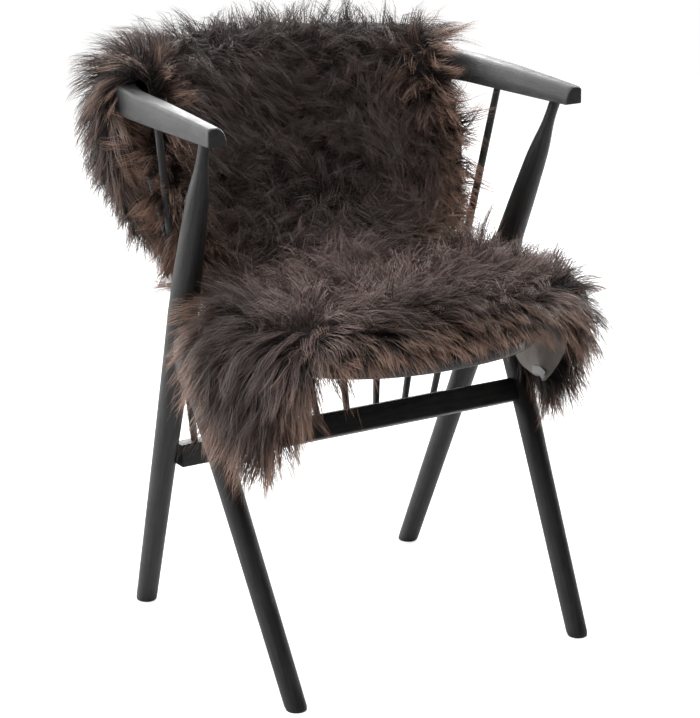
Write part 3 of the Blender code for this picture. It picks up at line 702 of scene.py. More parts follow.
@dataclass(frozen=True)
class ArmRail:
    """The bent horseshoe rail: half a superellipse behind and two straight arms."""

    half_width: float = 0.246
    centre_y: float = 0.080
    depth: float = 0.205
    power: float = 2.15
    arm_end: tuple[float, float] = (0.251, -0.104)
    bottom: float = 0.668
    # share of the half length from the back's middle, half width, height
    sections: tuple = (
        (0.00, 0.0190, 0.0340),
        (0.55, 0.0185, 0.0340),
        (0.75, 0.0165, 0.0300),
        (0.90, 0.0140, 0.0255),
        (1.00, 0.0122, 0.0220),
    )
    chamfer: float = 0.0035
    chamfer_steps: tuple = (0.0, 0.12, 0.5, 0.88, 1.0)
    chamfer_round: tuple = (0.10, 0.035, 0.0, 0.035, 0.10)  # shares of the chamfer
    ease: float = 0.0015
    ease_points: int = 5
    shoulder_power: float = 1.95
    shoulder_points: int = 14
    shoulder_turn: Span = (2.0, 86.0)  # degrees
    steps: int = 180
    end_ease: Span = (0.0022, 0.0011)  # length of the eased end, its depth
    end_steps: tuple = (0.55, 0.2, 0.0)
    crease: float = 35.0
    curve_samples: int = 600
    tangent_step: float = 0.006

    def line(self) -> tuple[Array, Array]:
        """The centre line from the back's middle to the right arm's end.

        x = W |cos a|^(2/p) and y = C + D |sin a|^(2/p), then a straight arm.

        Returns:
            Lengths along it, and its points, n by 2.
        """
        turn = np.linspace(math.pi / 2, 0.0, self.curve_samples)
        power = 2.0 / self.power
        x = self.half_width * np.abs(np.cos(turn)) ** power
        y = self.centre_y + self.depth * np.abs(np.sin(turn)) ** power
        points = np.concatenate([np.stack([x, y], -1), [self.arm_end]])
        return running_length(points), points

    def half_length(self) -> float:
        """Length from the back's middle to an arm's end."""
        return float(self.line()[0][-1])

    def point(self, s: Array) -> Array:
        """x and y at signed lengths s from the back's middle."""
        s = np.asarray(s, float)
        own, points = self.line()
        x = np.interp(np.abs(s), own, points[:, 0]) * np.sign(s)
        return np.stack([x, np.interp(np.abs(s), own, points[:, 1])], -1)

    def outward(self, s: Array) -> Array:
        """The level unit vector out of the horseshoe at length s."""
        reach = self.half_length() - self.tangent_step
        inside = np.clip(np.asarray(s, float), -reach, reach)
        way = self.point(inside + self.tangent_step) - self.point(inside - self.tangent_step)
        way = unit(way)
        return np.stack([-way[..., 1], way[..., 0]], -1)

    def section(self, half: Array, tall: Array) -> tuple[Array, Array]:
        """The rail's section for arrays of half widths and heights.

        An upright outer face with a rounded chamfer above, then the inner shoulder as the
        superellipse |a/w|^q + (b/h)^q = 1, then the flat underside.

        Args:
            half: Half width of each section.
            tall: Height of each section.

        Returns:
            Offsets outwards and upwards, each sections by places round.
        """
        w, h = half[:, None], tall[:, None]
        one = np.ones_like(w)
        turn = np.linspace(0.0, FULL_TURN / 4, self.ease_points)
        radius = self.ease
        low_out = w - radius + radius * np.sin(turn), one * (radius - radius * np.cos(turn))
        c = self.chamfer
        down = np.array(self.chamfer_steps)
        round_off = c * np.array(self.chamfer_round)
        cut = w - c * down - round_off, h - c * (1.0 - down) - round_off
        phi = np.radians(np.linspace(*self.shoulder_turn, self.shoulder_points))
        power = 2.0 / self.shoulder_power
        shoulder = -w * np.sin(phi) ** power, h * np.cos(phi) ** power
        foot = -w + radius - radius * np.cos(turn), one * (radius - radius * np.sin(turn))
        parts = [low_out, cut, shoulder, foot]
        outwards = np.concatenate([p[0] * one for p in parts], axis=1)
        upwards = np.concatenate([p[1] * one for p in parts], axis=1)
        return outwards, upwards

    def build(self) -> bpy.types.Object:
        """Carries the section along the centre line and eases the two end faces."""
        whole = self.half_length()
        length, depth = self.end_ease
        s = np.linspace(-1.0, 1.0, 2 * self.steps + 1) * (whole - length)
        tips = whole - length * np.array(self.end_steps)
        s = np.concatenate([-tips[::-1], s, tips])
        shrink = depth * (1.0 - np.sqrt(np.clip((whole - np.abs(s)) / length, 0.0, 1.0)))
        share = np.abs(s) / whole
        half = column(self.sections, share, 1) - shrink
        tall = column(self.sections, share, 2) - shrink
        outwards, upwards = self.section(half, tall)
        level = self.point(s)[:, None] + outwards[..., None] * self.outward(s)[:, None]
        height = self.bottom + upwards + shrink[:, None] * (upwards < self.ease)
        rings = np.concatenate([level, height[..., None]], -1)
        piece = swept_piece("rail_and_arms", rings, WOOD, self.crease)
        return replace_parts(piece, "arm_rail")


@dataclass(frozen=True)
class Legs:
    """The four legs: rear ones run up as posts, front ones have a head that meets them."""

    rail: ArmRail
    front_foot: tuple[float, float] = (0.2087, -0.1986)
    rear_foot: tuple[float, float] = (0.2073, 0.1986)
    front_lean: tuple[float, float] = (0.0588, 0.5427)
    rear_lean: tuple[float, float] = (0.0621, -0.3995)
    # height, radius
    rear: tuple = (
        (0.000, 0.0125),
        (0.004, 0.0136),
        (0.240, 0.0155),
        (0.400, 0.0176),
        (0.450, 0.0184),
        (0.520, 0.0168),
        (0.580, 0.0142),
        (0.607, 0.0126),
        (0.622, 0.0098),
        (0.640, 0.0070),
        (0.670, 0.0070),
    )
    # height, reach before and behind the centre line, half thickness
    front: tuple = (
        (0.000, 0.0125, 0.0125, 0.0125),
        (0.004, 0.0138, 0.0138, 0.0136),
        (0.200, 0.0160, 0.0160, 0.0146),
        (0.300, 0.0172, 0.0172, 0.0158),
        (0.326, 0.0175, 0.0190, 0.0160),
        (0.338, 0.0175, 0.0250, 0.0158),
        (0.347, 0.0176, 0.0350, 0.0155),
        (0.355, 0.0178, 0.0460, 0.0152),
        (0.380, 0.0180, 0.0420, 0.0150),
        (0.400, 0.0182, 0.0420, 0.0148),
        (0.415, 0.0210, 0.0420, 0.0142),
        (0.430, 0.0310, 0.0420, 0.0120),
        (0.446, 0.0435, 0.0420, 0.0080),
    )
    sides: int = 40
    foot_levels: tuple = (0.0, 0.0015, 0.004)
    shaft_start: float = 0.012
    foot_ease: float = 0.0004
    levels: int = 96
    soft_levels: int = 5
    crease: float = 50.0
    head_gap: float = 0.0008
    head_feather: float = 0.0012
    top_gap: float = 0.0003

    def rear_radius(self, z: Array) -> Array:
        """Radius of a rear leg at height z."""
        return column(self.rear, z, 1)

    def heights(self, top: float) -> Array:
        """The levels of a leg: close together at the eased foot, then even up to top."""
        shaft = np.linspace(self.shaft_start, top, self.levels)
        return np.concatenate([self.foot_levels, shaft])

    def rear_leg(self, side: Side) -> bpy.types.Object:
        """Level ellipses up the leaning centre line: r wide and r sqrt(1 + lean^2) deep."""
        z = self.heights(self.rail.bottom - self.top_gap)
        radius = self.rear_radius(z)
        foot = len(self.foot_levels)
        radius[foot:] = soften(radius[foot:], self.soft_levels)
        radius[1] = self.rear[1][1] - self.foot_ease
        turn = np.linspace(0.0, FULL_TURN, self.sides, endpoint=False)
        stretch = math.hypot(1.0, self.rear_lean[1])
        x = side.value * (self.rear_foot[0] + self.rear_lean[0] * z)
        y = self.rear_foot[1] + self.rear_lean[1] * z
        rings = np.stack([
            x[:, None] + radius[:, None] * np.cos(turn),
            y[:, None] + stretch * radius[:, None] * np.sin(turn),
            np.broadcast_to(z[:, None], (len(z), self.sides)),
        ], -1)
        piece = swept_piece(f"post_leg_{side.word}", rings, WOOD, self.crease)
        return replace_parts(piece, f"rear_leg_{side.word}")

    def rear_face(self, side: Side, z: Array, x: Array) -> Array:
        """y of the face that the rear leg turns to the front leg."""
        radius = self.rear_radius(z) + self.head_gap
        cx = side.value * (self.rear_foot[0] + self.rear_lean[0] * z)
        cy = self.rear_foot[1] + self.rear_lean[1] * z
        inside = np.clip(1.0 - ((x - cx) / radius) ** 2, 0.0, 1.0)
        return cy - radius * math.hypot(1.0, self.rear_lean[1]) * np.sqrt(inside)

    def front_leg(self, side: Side) -> bpy.types.Object:
        """Level ovals up the leaning line, cut behind by the face of the rear leg."""
        z = self.heights(self.front[-1][0])
        before, behind, half = (column(self.front, z, k)[:, None] for k in (1, 2, 3))
        turn = FULL_TURN * (np.arange(self.sides) + 0.5) / self.sides
        z = z[:, None]
        cx = side.value * (self.front_foot[0] + self.front_lean[0] * z)
        cy = self.front_foot[1] + self.front_lean[1] * z
        x = cx + half * np.cos(turn)
        bow = np.abs(np.sin(turn))
        rear = np.minimum(cy + behind * bow, self.rear_face(side, z, x))
        fore = np.minimum(cy - before * bow, rear - self.head_feather)
        y = np.where(np.sin(turn) > 0, rear, fore)
        rings = np.stack([x, y, np.broadcast_to(z, x.shape)], -1)
        piece = swept_piece(f"splayed_leg_{side.word}", rings, WOOD, self.crease)
        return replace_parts(piece, f"front_leg_{side.word}")

    def build(self) -> list[bpy.types.Object]:
        """The four legs."""
        return [make(side) for side in Side for make in (self.rear_leg, self.front_leg)]


@dataclass(frozen=True)
class SpindleFan:
    """Nine turned spindles, fanned from the rear stretcher to the rail."""

    rail: ArmRail
    count: int = 9
    foot_pitch: float = 0.0455
    top_pitch: float = 0.0965
    foot_y: float = 0.1000
    foot_z: float = 0.2465
    radius: float = 0.0050
    # share of the height, share of the radius
    profile: tuple = ((0.0, 0.90), (0.12, 1.0), (0.5, 1.06), (0.88, 1.0), (1.0, 0.90))
    sides: int = 16
    levels: int = 26
    gap: float = 0.0003
    crease: float = 50.0

    def point(self, place: Array, share: Array) -> Array:
        """Points on the fan; place counts spindles from the middle one."""
        place = np.asarray(place, float)
        top = self.rail.point(place * self.top_pitch)
        foot = np.stack([place * self.foot_pitch, np.full(place.shape, self.foot_y)], -1)
        share = np.broadcast_to(np.asarray(share, float), place.shape)
        level = foot + share[..., None] * (top - foot)
        height = self.foot_z + share * (self.rail.bottom - self.foot_z)
        return np.concatenate([level, height[..., None]], -1)

    def build(self) -> list[bpy.types.Object]:
        """Level circles along each straight spindle, with the radius of the turned profile."""
        share = np.linspace(0.0, 1.0, self.levels)
        swell = self.radius * column(self.profile, share, 1)
        turn = np.linspace(0.0, FULL_TURN, self.sides, endpoint=False)
        circle = np.stack([np.cos(turn), np.sin(turn), np.zeros_like(turn)], -1)
        pieces = []
        for number in range(self.count):
            place = np.full(share.shape, number - (self.count - 1) / 2)
            centre = self.point(place, share)
            low, high = centre[0, 2] + self.gap, centre[-1, 2] - self.gap
            centre[:, 2] = np.clip(centre[:, 2], low, high)
            rings = centre[:, None] + swell[:, None, None] * circle
            piece = swept_piece(f"turned_spindle_{number + 1}", rings, WOOD, self.crease)
            pieces.append(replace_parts(piece, f"spindle_{number + 1}"))
        return pieces


@dataclass(frozen=True)
class CrossBar:
    """A straight bar across the chair with rounded edges."""

    name: str
    node: str
    y: float
    z: float
    depth: float
    height: float
    tilt: float
    half_length: float
    edge: float = 0.0022
    edge_points: int = 5
    steps: int = 14
    end_ease: float = 0.0006
    end_step: float = 0.0012
    crease: float = 35.0

    def build(self) -> bpy.types.Object:
        """A rounded rectangle carried straight across, turned by tilt about its length."""
        turn = np.linspace(0.0, math.pi / 2, self.edge_points)
        corner = self.edge * np.stack([np.sin(turn), np.cos(turn)], -1)
        a, b = self.depth / 2 - self.edge, self.height / 2 - self.edge
        quarters = [(1, 1, corner), (1, -1, corner[::-1]), (-1, -1, corner), (-1, 1, corner[::-1])]
        section = np.concatenate([
            np.array([p, q]) * (np.array([a, b]) + arc) for p, q, arc in quarters
        ])
        inner = self.half_length - self.end_step
        middle = np.linspace(-inner, inner, self.steps)
        x = np.concatenate([[-self.half_length], middle, [self.half_length]])
        size = np.ones_like(x)
        size[[0, -1]] -= 2 * self.end_ease / self.height
        flat = size[:, None, None] * section
        sine, cosine = math.sin(self.tilt), math.cos(self.tilt)
        rings = np.stack([
            np.broadcast_to(x[:, None], flat.shape[:2]),
            self.y + flat[..., 0] * cosine + flat[..., 1] * sine,
            self.z - flat[..., 0] * sine + flat[..., 1] * cosine,
        ], -1)
        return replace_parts(swept_piece(self.name, rings, WOOD, self.crease), self.node)


CROSS_BARS = (
    CrossBar(name="rear_stretcher_bar", node="stretcher_rear", y=0.1000, z=0.2315,
             depth=0.022, height=0.030, tilt=0.0, half_length=0.2049),
    CrossBar(name="front_stretcher_bar", node="stretcher_front", y=-0.0428, z=0.2870,
             depth=0.018, height=0.030, tilt=math.atan(Legs.front_lean[1]), half_length=0.2093),
    CrossBar(name="under_seat_bar", node="seat_rail", y=0.0270, z=0.3822,
             depth=0.060, height=0.0250, tilt=0.0, half_length=0.2128),
)


@dataclass(frozen=True)
class SeatPad:
    """The round-cornered leather pad with its rolled lip."""

    half_width: float = 0.207
    centre_y: float = -0.020
    front_depth: float = 0.208
    rear_depth: float = 0.182
    power: float = 2.4
    # how far inside the outline, height
    rings: tuple = (
        (0.1500, 0.3950),
        (0.0140, 0.3950),
        (0.0040, 0.3965),
        (0.0000, 0.4030),
        (0.0008, 0.4120),
        (0.0060, 0.4200),
        (0.0180, 0.4265),
        (0.0500, 0.4330),
        (0.1100, 0.4370),
        (0.1800, 0.4380),
    )
    inset_most: float = 0.181  # just short of the rear depth, so that no ring turns over
    sides: int = 168
    ring_steps: int = 6
    crease: float = 60.0
    clear: float = 0.0065
    brim: float = 0.4290
    fill: float = 0.85

    def outline(self, inset: Array, turn: Array) -> Array:
        """The superellipse |x/W|^p + |y/D|^p = 1, drawn in by each inset."""
        power = 2.0 / self.power
        x = np.sign(np.cos(turn)) * np.abs(np.cos(turn)) ** power
        y = np.sign(np.sin(turn)) * np.abs(np.sin(turn)) ** power
        depth = np.where(y > 0, self.rear_depth, self.front_depth)
        inset = inset[:, None]
        return np.stack([
            x * (self.half_width - inset),
            self.centre_y + y * (depth - inset),
        ], -1)

    def build(self) -> bpy.types.Object:
        """Rings through the lip's profile, evened by a cubic between the table's rows."""
        table = np.array(self.rings)
        knots = running_length(table)
        place = np.concatenate([
            np.linspace(a, b, self.ring_steps, endpoint=False)
            for a, b in zip(knots[:-1], knots[1:])
        ] + [knots[-1:]])
        profile = np.stack([cubic(knots, table[:, k], place) for k in (0, 1)], -1)
        turn = np.linspace(0.0, FULL_TURN, self.sides, endpoint=False)
        level = self.outline(np.clip(profile[:, 0], 0.0, self.inset_most), turn)
        height = np.broadcast_to(profile[:, 1][:, None], level.shape[:2])
        rings = np.concatenate([level, height[..., None]], -1)
        piece = swept_piece("leather_seat_pad", rings, LEATHER, self.crease)
        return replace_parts(piece, "seat_pad")

    def push_out(self, grid: Array) -> Array:
        """Points below the brim moved level and outwards until they clear the lip."""
        centre = np.array([0.0, self.centre_y])
        level = grid[..., :2] - centre
        depth = np.where(level[..., 1] > 0, self.rear_depth, self.front_depth) + self.clear
        share = np.abs(level[..., 0] / (self.half_width + self.clear)) ** self.power
        share = (share + np.abs(level[..., 1] / depth) ** self.power) ** (1.0 / self.power)
        inside = (share < 1.0) & (grid[..., 2] < self.brim)
        pushed = grid.copy()
        moved = centre + level / np.maximum(share, 1e-6)[..., None]
        pushed[..., :2] = np.where(inside[..., None], moved, grid[..., :2])
        return pushed


def cubic(knots: Array, values: Array, place: Array) -> Array:
    """The cubic through values at knots, each with the slope between its neighbours.

    Args:
        knots: Places of the values, rising.
        values: Values at the knots, on the first axis.
        place: Places to read it at.

    Returns:
        The values at place.
    """
    gaps = np.diff(knots)
    extra = (1,) * (values.ndim - 1)
    slope = np.zeros_like(values)
    slope[1:-1] = (values[2:] - values[:-2]) / (knots[2:] - knots[:-2]).reshape(-1, *extra)
    slope[0] = (values[1] - values[0]) / gaps[0]
    slope[-1] = (values[-1] - values[-2]) / gaps[-1]
    index = np.clip(np.searchsorted(knots, place, side="right") - 1, 0, len(gaps) - 1)
    width = gaps[index].reshape(-1, *extra)
    t = ((place - knots[index]) / gaps[index]).reshape(-1, *extra)
    start = (2 * t**3 - 3 * t**2 + 1) * values[index]
    leave = (t**3 - 2 * t**2 + t) * width * slope[index]
    end = (3 * t**2 - 2 * t**3) * values[index + 1]
    arrive = (t**3 - t**2) * width * slope[index + 1]
    return start + leave + end + arrive


# The rug

@dataclass
class Hide:
    """The tanned hide as one draped sheet, and the measures that the wool grows by."""

    rail: ArmRail
    fan: SpindleFan
    pad: SeatPad
    # On the seat: y, how far y falls back at the sides, z, half widths, where it starts to
    # fall, the lengths in which it turns down and how far it turns, each left and right
    seat_rows: tuple = (
        (-0.216, 0.050, 0.4330, 0.112, 0.122, 0.080, 0.100, 0.060, 0.060, 10.0, 10.0),
        (-0.202, 0.035, 0.4400, 0.166, 0.170, 0.112, 0.125, 0.060, 0.060, 52.0, 36.0),
        (-0.180, 0.025, 0.4430, 0.212, 0.240, 0.140, 0.165, 0.048, 0.060, 86.0, 72.0),
        (-0.160, 0.015, 0.4430, 0.272, 0.300, 0.156, 0.190, 0.048, 0.075, 86.0, 105.0),
        (-0.140, 0.008, 0.4420, 0.326, 0.352, 0.168, 0.200, 0.048, 0.080, 86.0, 118.0),
        (-0.112, 0.000, 0.4405, 0.318, 0.344, 0.180, 0.194, 0.050, 0.080, 86.0, 118.0),
        (-0.080, 0.000, 0.4390, 0.300, 0.338, 0.190, 0.186, 0.050, 0.075, 84.0, 118.0),
        (-0.045, 0.000, 0.4384, 0.258, 0.314, 0.196, 0.186, 0.048, 0.060, 78.0, 98.0),
        (-0.018, 0.000, 0.4383, 0.214, 0.262, 0.190, 0.178, 0.048, 0.055, 10.0, 62.0),
        (0.010, 0.000, 0.4383, 0.200, 0.202, 0.140, 0.130, 0.060, 0.070, -16.0, -34.0),
        (0.045, 0.000, 0.4390, 0.196, 0.198, 0.140, 0.130, 0.060, 0.070, -16.0, -30.0),
        (0.085, 0.000, 0.4430, 0.182, 0.182, 0.140, 0.130, 0.060, 0.070, -10.0, -16.0),
    )
    bow_reach: float = 0.2
    # Before the spindles: share of their height, gap, half widths counted in spindles
    back_rows: tuple = (
        (0.500, 0.062, 3.90, 3.90),
        (0.560, 0.038, 3.95, 3.95),
        (0.640, 0.020, 3.90, 3.85),
        (0.760, 0.013, 3.75, 3.70),
        (0.880, 0.014, 3.45, 3.45),
        (0.960, 0.0225, 3.25, 3.20),
    )
    # Over and behind the rail: offset outwards, height, half widths along the rail
    rail_rows: tuple = (
        (-0.0235, 0.6860, 0.300, 0.280),
        (-0.0170, 0.7040, 0.298, 0.272),
        (0.0000, 0.7075, 0.296, 0.266),
        (0.0165, 0.7060, 0.295, 0.264),
        (0.0240, 0.6950, 0.293, 0.264),
        (0.0245, 0.6400, 0.306, 0.276),
        (0.0250, 0.5800, 0.260, 0.264),
        (0.0250, 0.5200, 0.206, 0.230),
        (0.0240, 0.4650, 0.152, 0.172),
        (0.0230, 0.4250, 0.085, 0.095),
    )
    columns: int = 113
    pitch: float = 0.0105
    samples: int = 400
    normal_passes: int = 8
    most_lean: float = 0.97  # of a line to a column, as a cosine
    crease: float = 60.0
    wool_gap: float = 0.0002
    wool_step: int = 2
    # Free rims that roll towards the skin: side, from and to along the hide, length of the
    # roll, its turn in degrees
    rolls: tuple = (
        (-1, 0.655, 1.100, 0.038, 145.0),
        (1, 0.655, 1.100, 0.036, 140.0),
        (-1, 0.360, 0.600, 0.020, 75.0),
    )
    roll_ramp: float = 0.030
    thickness: float = 0.0016
    flat: tuple[float, float] = (0.680, 0.962)
    area: float = 0.480
    # distance from the front edge down the middle, height of the pile
    pile_rows: tuple = (
        (0.000, 0.022),
        (0.060, 0.040),
        (0.140, 0.046),
        (0.300, 0.044),
        (0.420, 0.036),
        (0.600, 0.053),
        (0.680, 0.050),
        (0.740, 0.034),
        (0.860, 0.029),
        (1.100, 0.028),
    )
    # distance from the front edge down the middle, share of the pile that is dense
    dense_rows: tuple = (
        (0.000, 0.32),
        (0.300, 0.36),
        (0.500, 0.46),
        (0.570, 0.42),
        (0.650, 0.42),
        (0.740, 0.50),
        (1.100, 0.50),
    )
    nose: float = 0.052
    # x, y, reach and extra height where the wool stands higher on the seat
    swells: tuple = (
        (0.208, -0.050, 0.100, 0.047),
        (0.206, -0.116, 0.084, 0.024),
        (-0.180, -0.060, 0.080, 0.006),
    )
    swell_top: float = 0.56
    # share of the pile, waves for each metre along and across, phase
    lumps: tuple = (
        (0.075, 9.0, 3.0, 0.4),
        (0.070, -4.0, 10.0, 2.1),
        (0.060, 14.0, -8.0, 4.0),
        (0.045, 6.0, 17.0, 1.2),
    )

    def __post_init__(self) -> None:
        """Works out the sheet, its normals, its edge distances and the wool's height."""
        self.grid = self.roll_rims(self.pad.push_out(self.sheet_points()))
        self.normals = self.even_normals()
        self.measure()
        self.full_pile, self.pile = self.pile_height()

    def seat_row(self, row: tuple, across: Array) -> Array:
        """A row on the seat: level, then x and z follow a turn that grows by a smooth step."""
        y, bow, z, left, right, edge_left, edge_right, *turns = row
        bend_left, bend_right, fall_left, fall_right = turns
        points = np.zeros((len(across), 3))
        for side, half, edge, bend, fall in (
            (-1, left, edge_left, bend_left, fall_left),
            (1, right, edge_right, bend_right, fall_right),
        ):
            s = np.linspace(0.0, half, self.samples)
            turn = math.radians(fall) * ramp(s, edge, bend)
            step = s[1] - s[0]
            x = np.concatenate([[0.0], np.cumsum(np.cos(turn[1:]) * step)])
            drop = np.concatenate([[0.0], np.cumsum(np.sin(turn[1:]) * step)])
            chosen = across * side >= 0
            s_at = np.abs(across[chosen]) * half
            points[chosen, 0] = side * np.interp(s_at, s, x)
            points[chosen, 2] = z - np.interp(s_at, s, drop)
        points[:, 1] = y + bow * (points[:, 0] / self.bow_reach) ** 2
        return points

    def back_row(self, row: tuple, across: Array) -> Array:
        """A row before the spindles, at its gap inside the fan."""
        share, gap, left, right = row
        place = np.where(across < 0, across * left, across * right)
        points = self.fan.point(place, share)
        points[:, :2] -= gap * self.rail.outward(place * self.fan.top_pitch)
        return points

    def rail_row(self, row: tuple, across: Array) -> Array:
        """A row over or behind the rail, at its offset from the rail's centre line."""
        offset, z, left, right = row
        s = np.where(across < 0, across * left, across * right)
        level = self.rail.point(s) + offset * self.rail.outward(s)
        return np.concatenate([level, np.full((len(s), 1), z)], -1)

    def sheet_points(self) -> Array:
        """The skin side: rows joined by cubics, cut into steps no longer than the pitch."""
        across = np.linspace(-1.0, 1.0, self.columns)
        rows = [self.seat_row(row, across) for row in self.seat_rows]
        rows += [self.back_row(row, across) for row in self.back_rows]
        rows += [self.rail_row(row, across) for row in self.rail_rows]
        rows = np.array(rows)
        gaps = np.linalg.norm(np.diff(rows, axis=0), axis=2).mean(axis=1)
        knots = np.concatenate([[0.0], np.cumsum(gaps)])
        parts = np.ceil(gaps / self.pitch).astype(int)
        places = [knots[k] + gaps[k] * np.arange(n) / n for k, n in enumerate(parts)]
        return cubic(knots, rows, np.concatenate(places + [knots[-1:]]))

    def roll_rims(self, grid: Array) -> Array:
        """Rolls the free rims towards the skin.

        Each step outwards along a line is turned from its own way e towards -n by the angle
        T m s((D - d) / D), with d the distance to the rim, D the roll's length, m the ramp
        along the hide and s the smooth step.  The steps are then added up again.

        Args:
            grid: The sheet with flat rims.

        Returns:
            The sheet with rolled rims.
        """
        for side, start, end, reach, turn in self.rolls:
            flat = grid[:, ::side]
            along = running_length(flat)[:, flat.shape[1] // 2]
            share = ramp(along, start, self.roll_ramp)
            share = share * smooth_step((end - along) / self.roll_ramp)
            normal = np.cross(np.gradient(flat, axis=1), np.gradient(flat, axis=0)) * side
            normal = unit(normal[:, 1:] + normal[:, :-1])
            steps = np.diff(flat, axis=1)
            length = np.linalg.norm(steps, axis=2, keepdims=True)
            way = unit(steps)
            normal = unit(normal - (normal * way).sum(2, keepdims=True) * way)
            walked = np.cumsum(length, axis=1)
            rest = walked[:, -1:] - walked + length / 2
            rolled = smooth_step((reach - rest) / reach)
            angle = math.radians(turn) * share[:, None, None] * rolled
            turned = length * (way * np.cos(angle) - normal * np.sin(angle))
            flat = np.concatenate([flat[:, :1], flat[:, :1] + np.cumsum(turned, axis=1)], 1)
            grid = flat[:, ::side]
        return grid

    def even_normals(self) -> Array:
        """Normals of the wool side, each evened out with its four neighbours."""
        normal = np.cross(np.gradient(self.grid, axis=1), np.gradient(self.grid, axis=0))
        normal = unit(normal)
        for _ in range(self.normal_passes):
            wide = np.pad(normal, ((1, 1), (1, 1), (0, 0)), mode="edge")
            near = wide[:-2, 1:-1] + wide[2:, 1:-1] + wide[1:-1, :-2] + wide[1:-1, 2:]
            normal = unit(2 * normal + near)
        return normal

    def measure(self) -> None:
        """Lengths across and along the sheet, the way out of it, and each cell's area."""
        grid = self.grid
        self.across = running_length(grid.transpose(1, 0, 2)).T
        self.along = running_length(grid)
        self.width = self.across[:, -1:]
        from_right = self.width - self.across
        from_rear = self.along[-1:] - self.along
        self.tangent_u = unit(np.gradient(grid, axis=1))
        self.tangent_v = unit(np.gradient(grid, axis=0))
        lean = (self.tangent_u * self.tangent_v).sum(axis=2)
        self.slant = np.sqrt(1.0 - np.clip(lean, -self.most_lean, self.most_lean) ** 2)
        sides = np.minimum(self.across, from_right)
        ends = np.minimum(self.along, from_rear)
        self.nearest = np.minimum(sides, ends) * self.slant
        first = grid[1:, 1:] - grid[:-1, :-1]
        second = grid[1:, :-1] - grid[:-1, 1:]
        self.cell_area = np.linalg.norm(np.cross(first, second), axis=2) / 2

    def pile_height(self) -> tuple[Array, Array]:
        """Height of the wool: table x lumps + swells; then rounded off at the rim as a circle.

        Returns:
            The height before and after it is rounded off.
        """
        inside = np.clip(self.nearest / self.nose, 0.0, 1.0)
        nose = np.sqrt(1.0 - (1.0 - inside) ** 2)
        lumps = np.ones_like(self.nearest)
        for size, waves_along, waves_across, phase in self.lumps:
            waves = waves_along * self.along + waves_across * self.across
            lumps += size * np.sin(FULL_TURN * waves + phase)
        middle = self.along[:, self.along.shape[1] // 2]
        height = column(self.pile_rows, middle, 1)[:, None] * lumps
        for x, y, reach, extra in self.swells:
            away = np.hypot(self.grid[..., 0] - x, self.grid[..., 1] - y) / reach
            height += extra * (1.0 - smooth_step(away)) * (self.grid[..., 2] < self.swell_top)
        return height, height * nose

    def read(self, values: Array, v: Array, u: Array) -> Array:
        """Values between the sheet's points, by a bilinear blend.

        Args:
            values: Numbers or vectors at the points, lines by columns.
            v: Places counted in lines.
            u: Places counted in columns.

        Returns:
            The values at the places.
        """
        lines, columns = values.shape[:2]
        i = np.clip(v.astype(int), 0, lines - 2)
        j = np.clip(u.astype(int), 0, columns - 2)
        a, b = v - i, u - j
        if values.ndim == 3:
            a, b = a[:, None], b[:, None]
        low = (1 - b) * values[i, j] + b * values[i, j + 1]
        high = (1 - b) * values[i + 1, j] + b * values[i + 1, j + 1]
        return (1 - a) * low + a * high

    def shell(
        self, name: str, low: Array, high: Array, step: int, finishes: list[Finish]
    ) -> bpy.types.Object:
        """The closed shell between two sheets, joined round the rim.

        Args:
            name: Name of the piece.
            low: Points of the skin side.
            high: Points of the wool side.
            step: Every how many lines and columns are used.
            finishes: Finish of the skin side, and that of the wool side if it differs.

        Returns:
            The piece.
        """
        rows = np.unique(np.append(np.arange(0, low.shape[0], step), low.shape[0] - 1))
        cols = np.unique(np.append(np.arange(0, low.shape[1], step), low.shape[1] - 1))
        pick = np.ix_(rows, cols)
        low, high = low[pick], high[pick]
        lines, columns = low.shape[:2]
        index = np.arange(lines * columns).reshape(lines, columns)
        top = index + lines * columns
        skin = np.stack([index[:-1, :-1], index[1:, :-1], index[1:, 1:], index[:-1, 1:]], -1)
        wool = np.stack([top[:-1, :-1], top[:-1, 1:], top[1:, 1:], top[1:, :-1]], -1)
        loop = np.concatenate([index[0, :-1], index[:-1, -1], index[-1, :0:-1], index[:0:-1, 0]])
        onward = np.roll(loop, -1)
        beyond = lines * columns
        rim = np.stack([loop, onward, onward + beyond, loop + beyond], -1)
        faces = np.concatenate([skin.reshape(-1, 4), wool.reshape(-1, 4), rim])
        flat = np.stack([self.along[pick], self.across[pick]], -1).reshape(-1, 2)
        corner_uv = np.concatenate([flat, flat])[faces.ravel()]
        points = np.concatenate([low.reshape(-1, 3), high.reshape(-1, 3)])
        half = skin.shape[0] * skin.shape[1]
        number = np.zeros(len(faces))
        number[half:] = len(finishes) - 1
        piece = new_piece(name, points, [faces], finishes, corner_uv, None, number)
        face_outwards(piece, self.crease)
        return piece

    def build(self) -> tuple[bpy.types.Object, bpy.types.Object]:
        """The hide, and the dense wool on it up to a share of the pile's height."""
        top = self.grid + self.thickness * self.normals
        hide = self.shell("draped_hide", self.grid, top, 1, [SKIN, UNDERWOOL])
        gap = top + self.wool_gap * self.normals
        middle = self.along[:, self.columns // 2]
        share = column(self.dense_rows, middle, 1)[:, None]
        dense = gap + (share * self.pile)[..., None] * self.normals
        # The dense wool is dark so that it stands for the shade inside the pile.
        base = self.shell("dense_wool", gap, dense, self.wool_step, [UNDERWOOL])
        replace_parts(hide, "sheepskin")
        return hide, base


class WoolPart(Enum):
    """Parts of the long wool: from and to along the hide in metres, and side of the seat."""

    SEAT = (0.00, 0.335, 0)
    FLAP_LEFT = (0.00, 0.335, -1)
    FLAP_RIGHT = (0.00, 0.335, 1)
    BACK_LOW = (0.335, 0.470, 0)
    BACK_HIGH = (0.470, 0.600, 0)
    CREST = (0.600, 0.740, 0)
    REAR_HIGH = (0.740, 0.850, 0)
    REAR_LOW = (0.850, 2.000, 0)


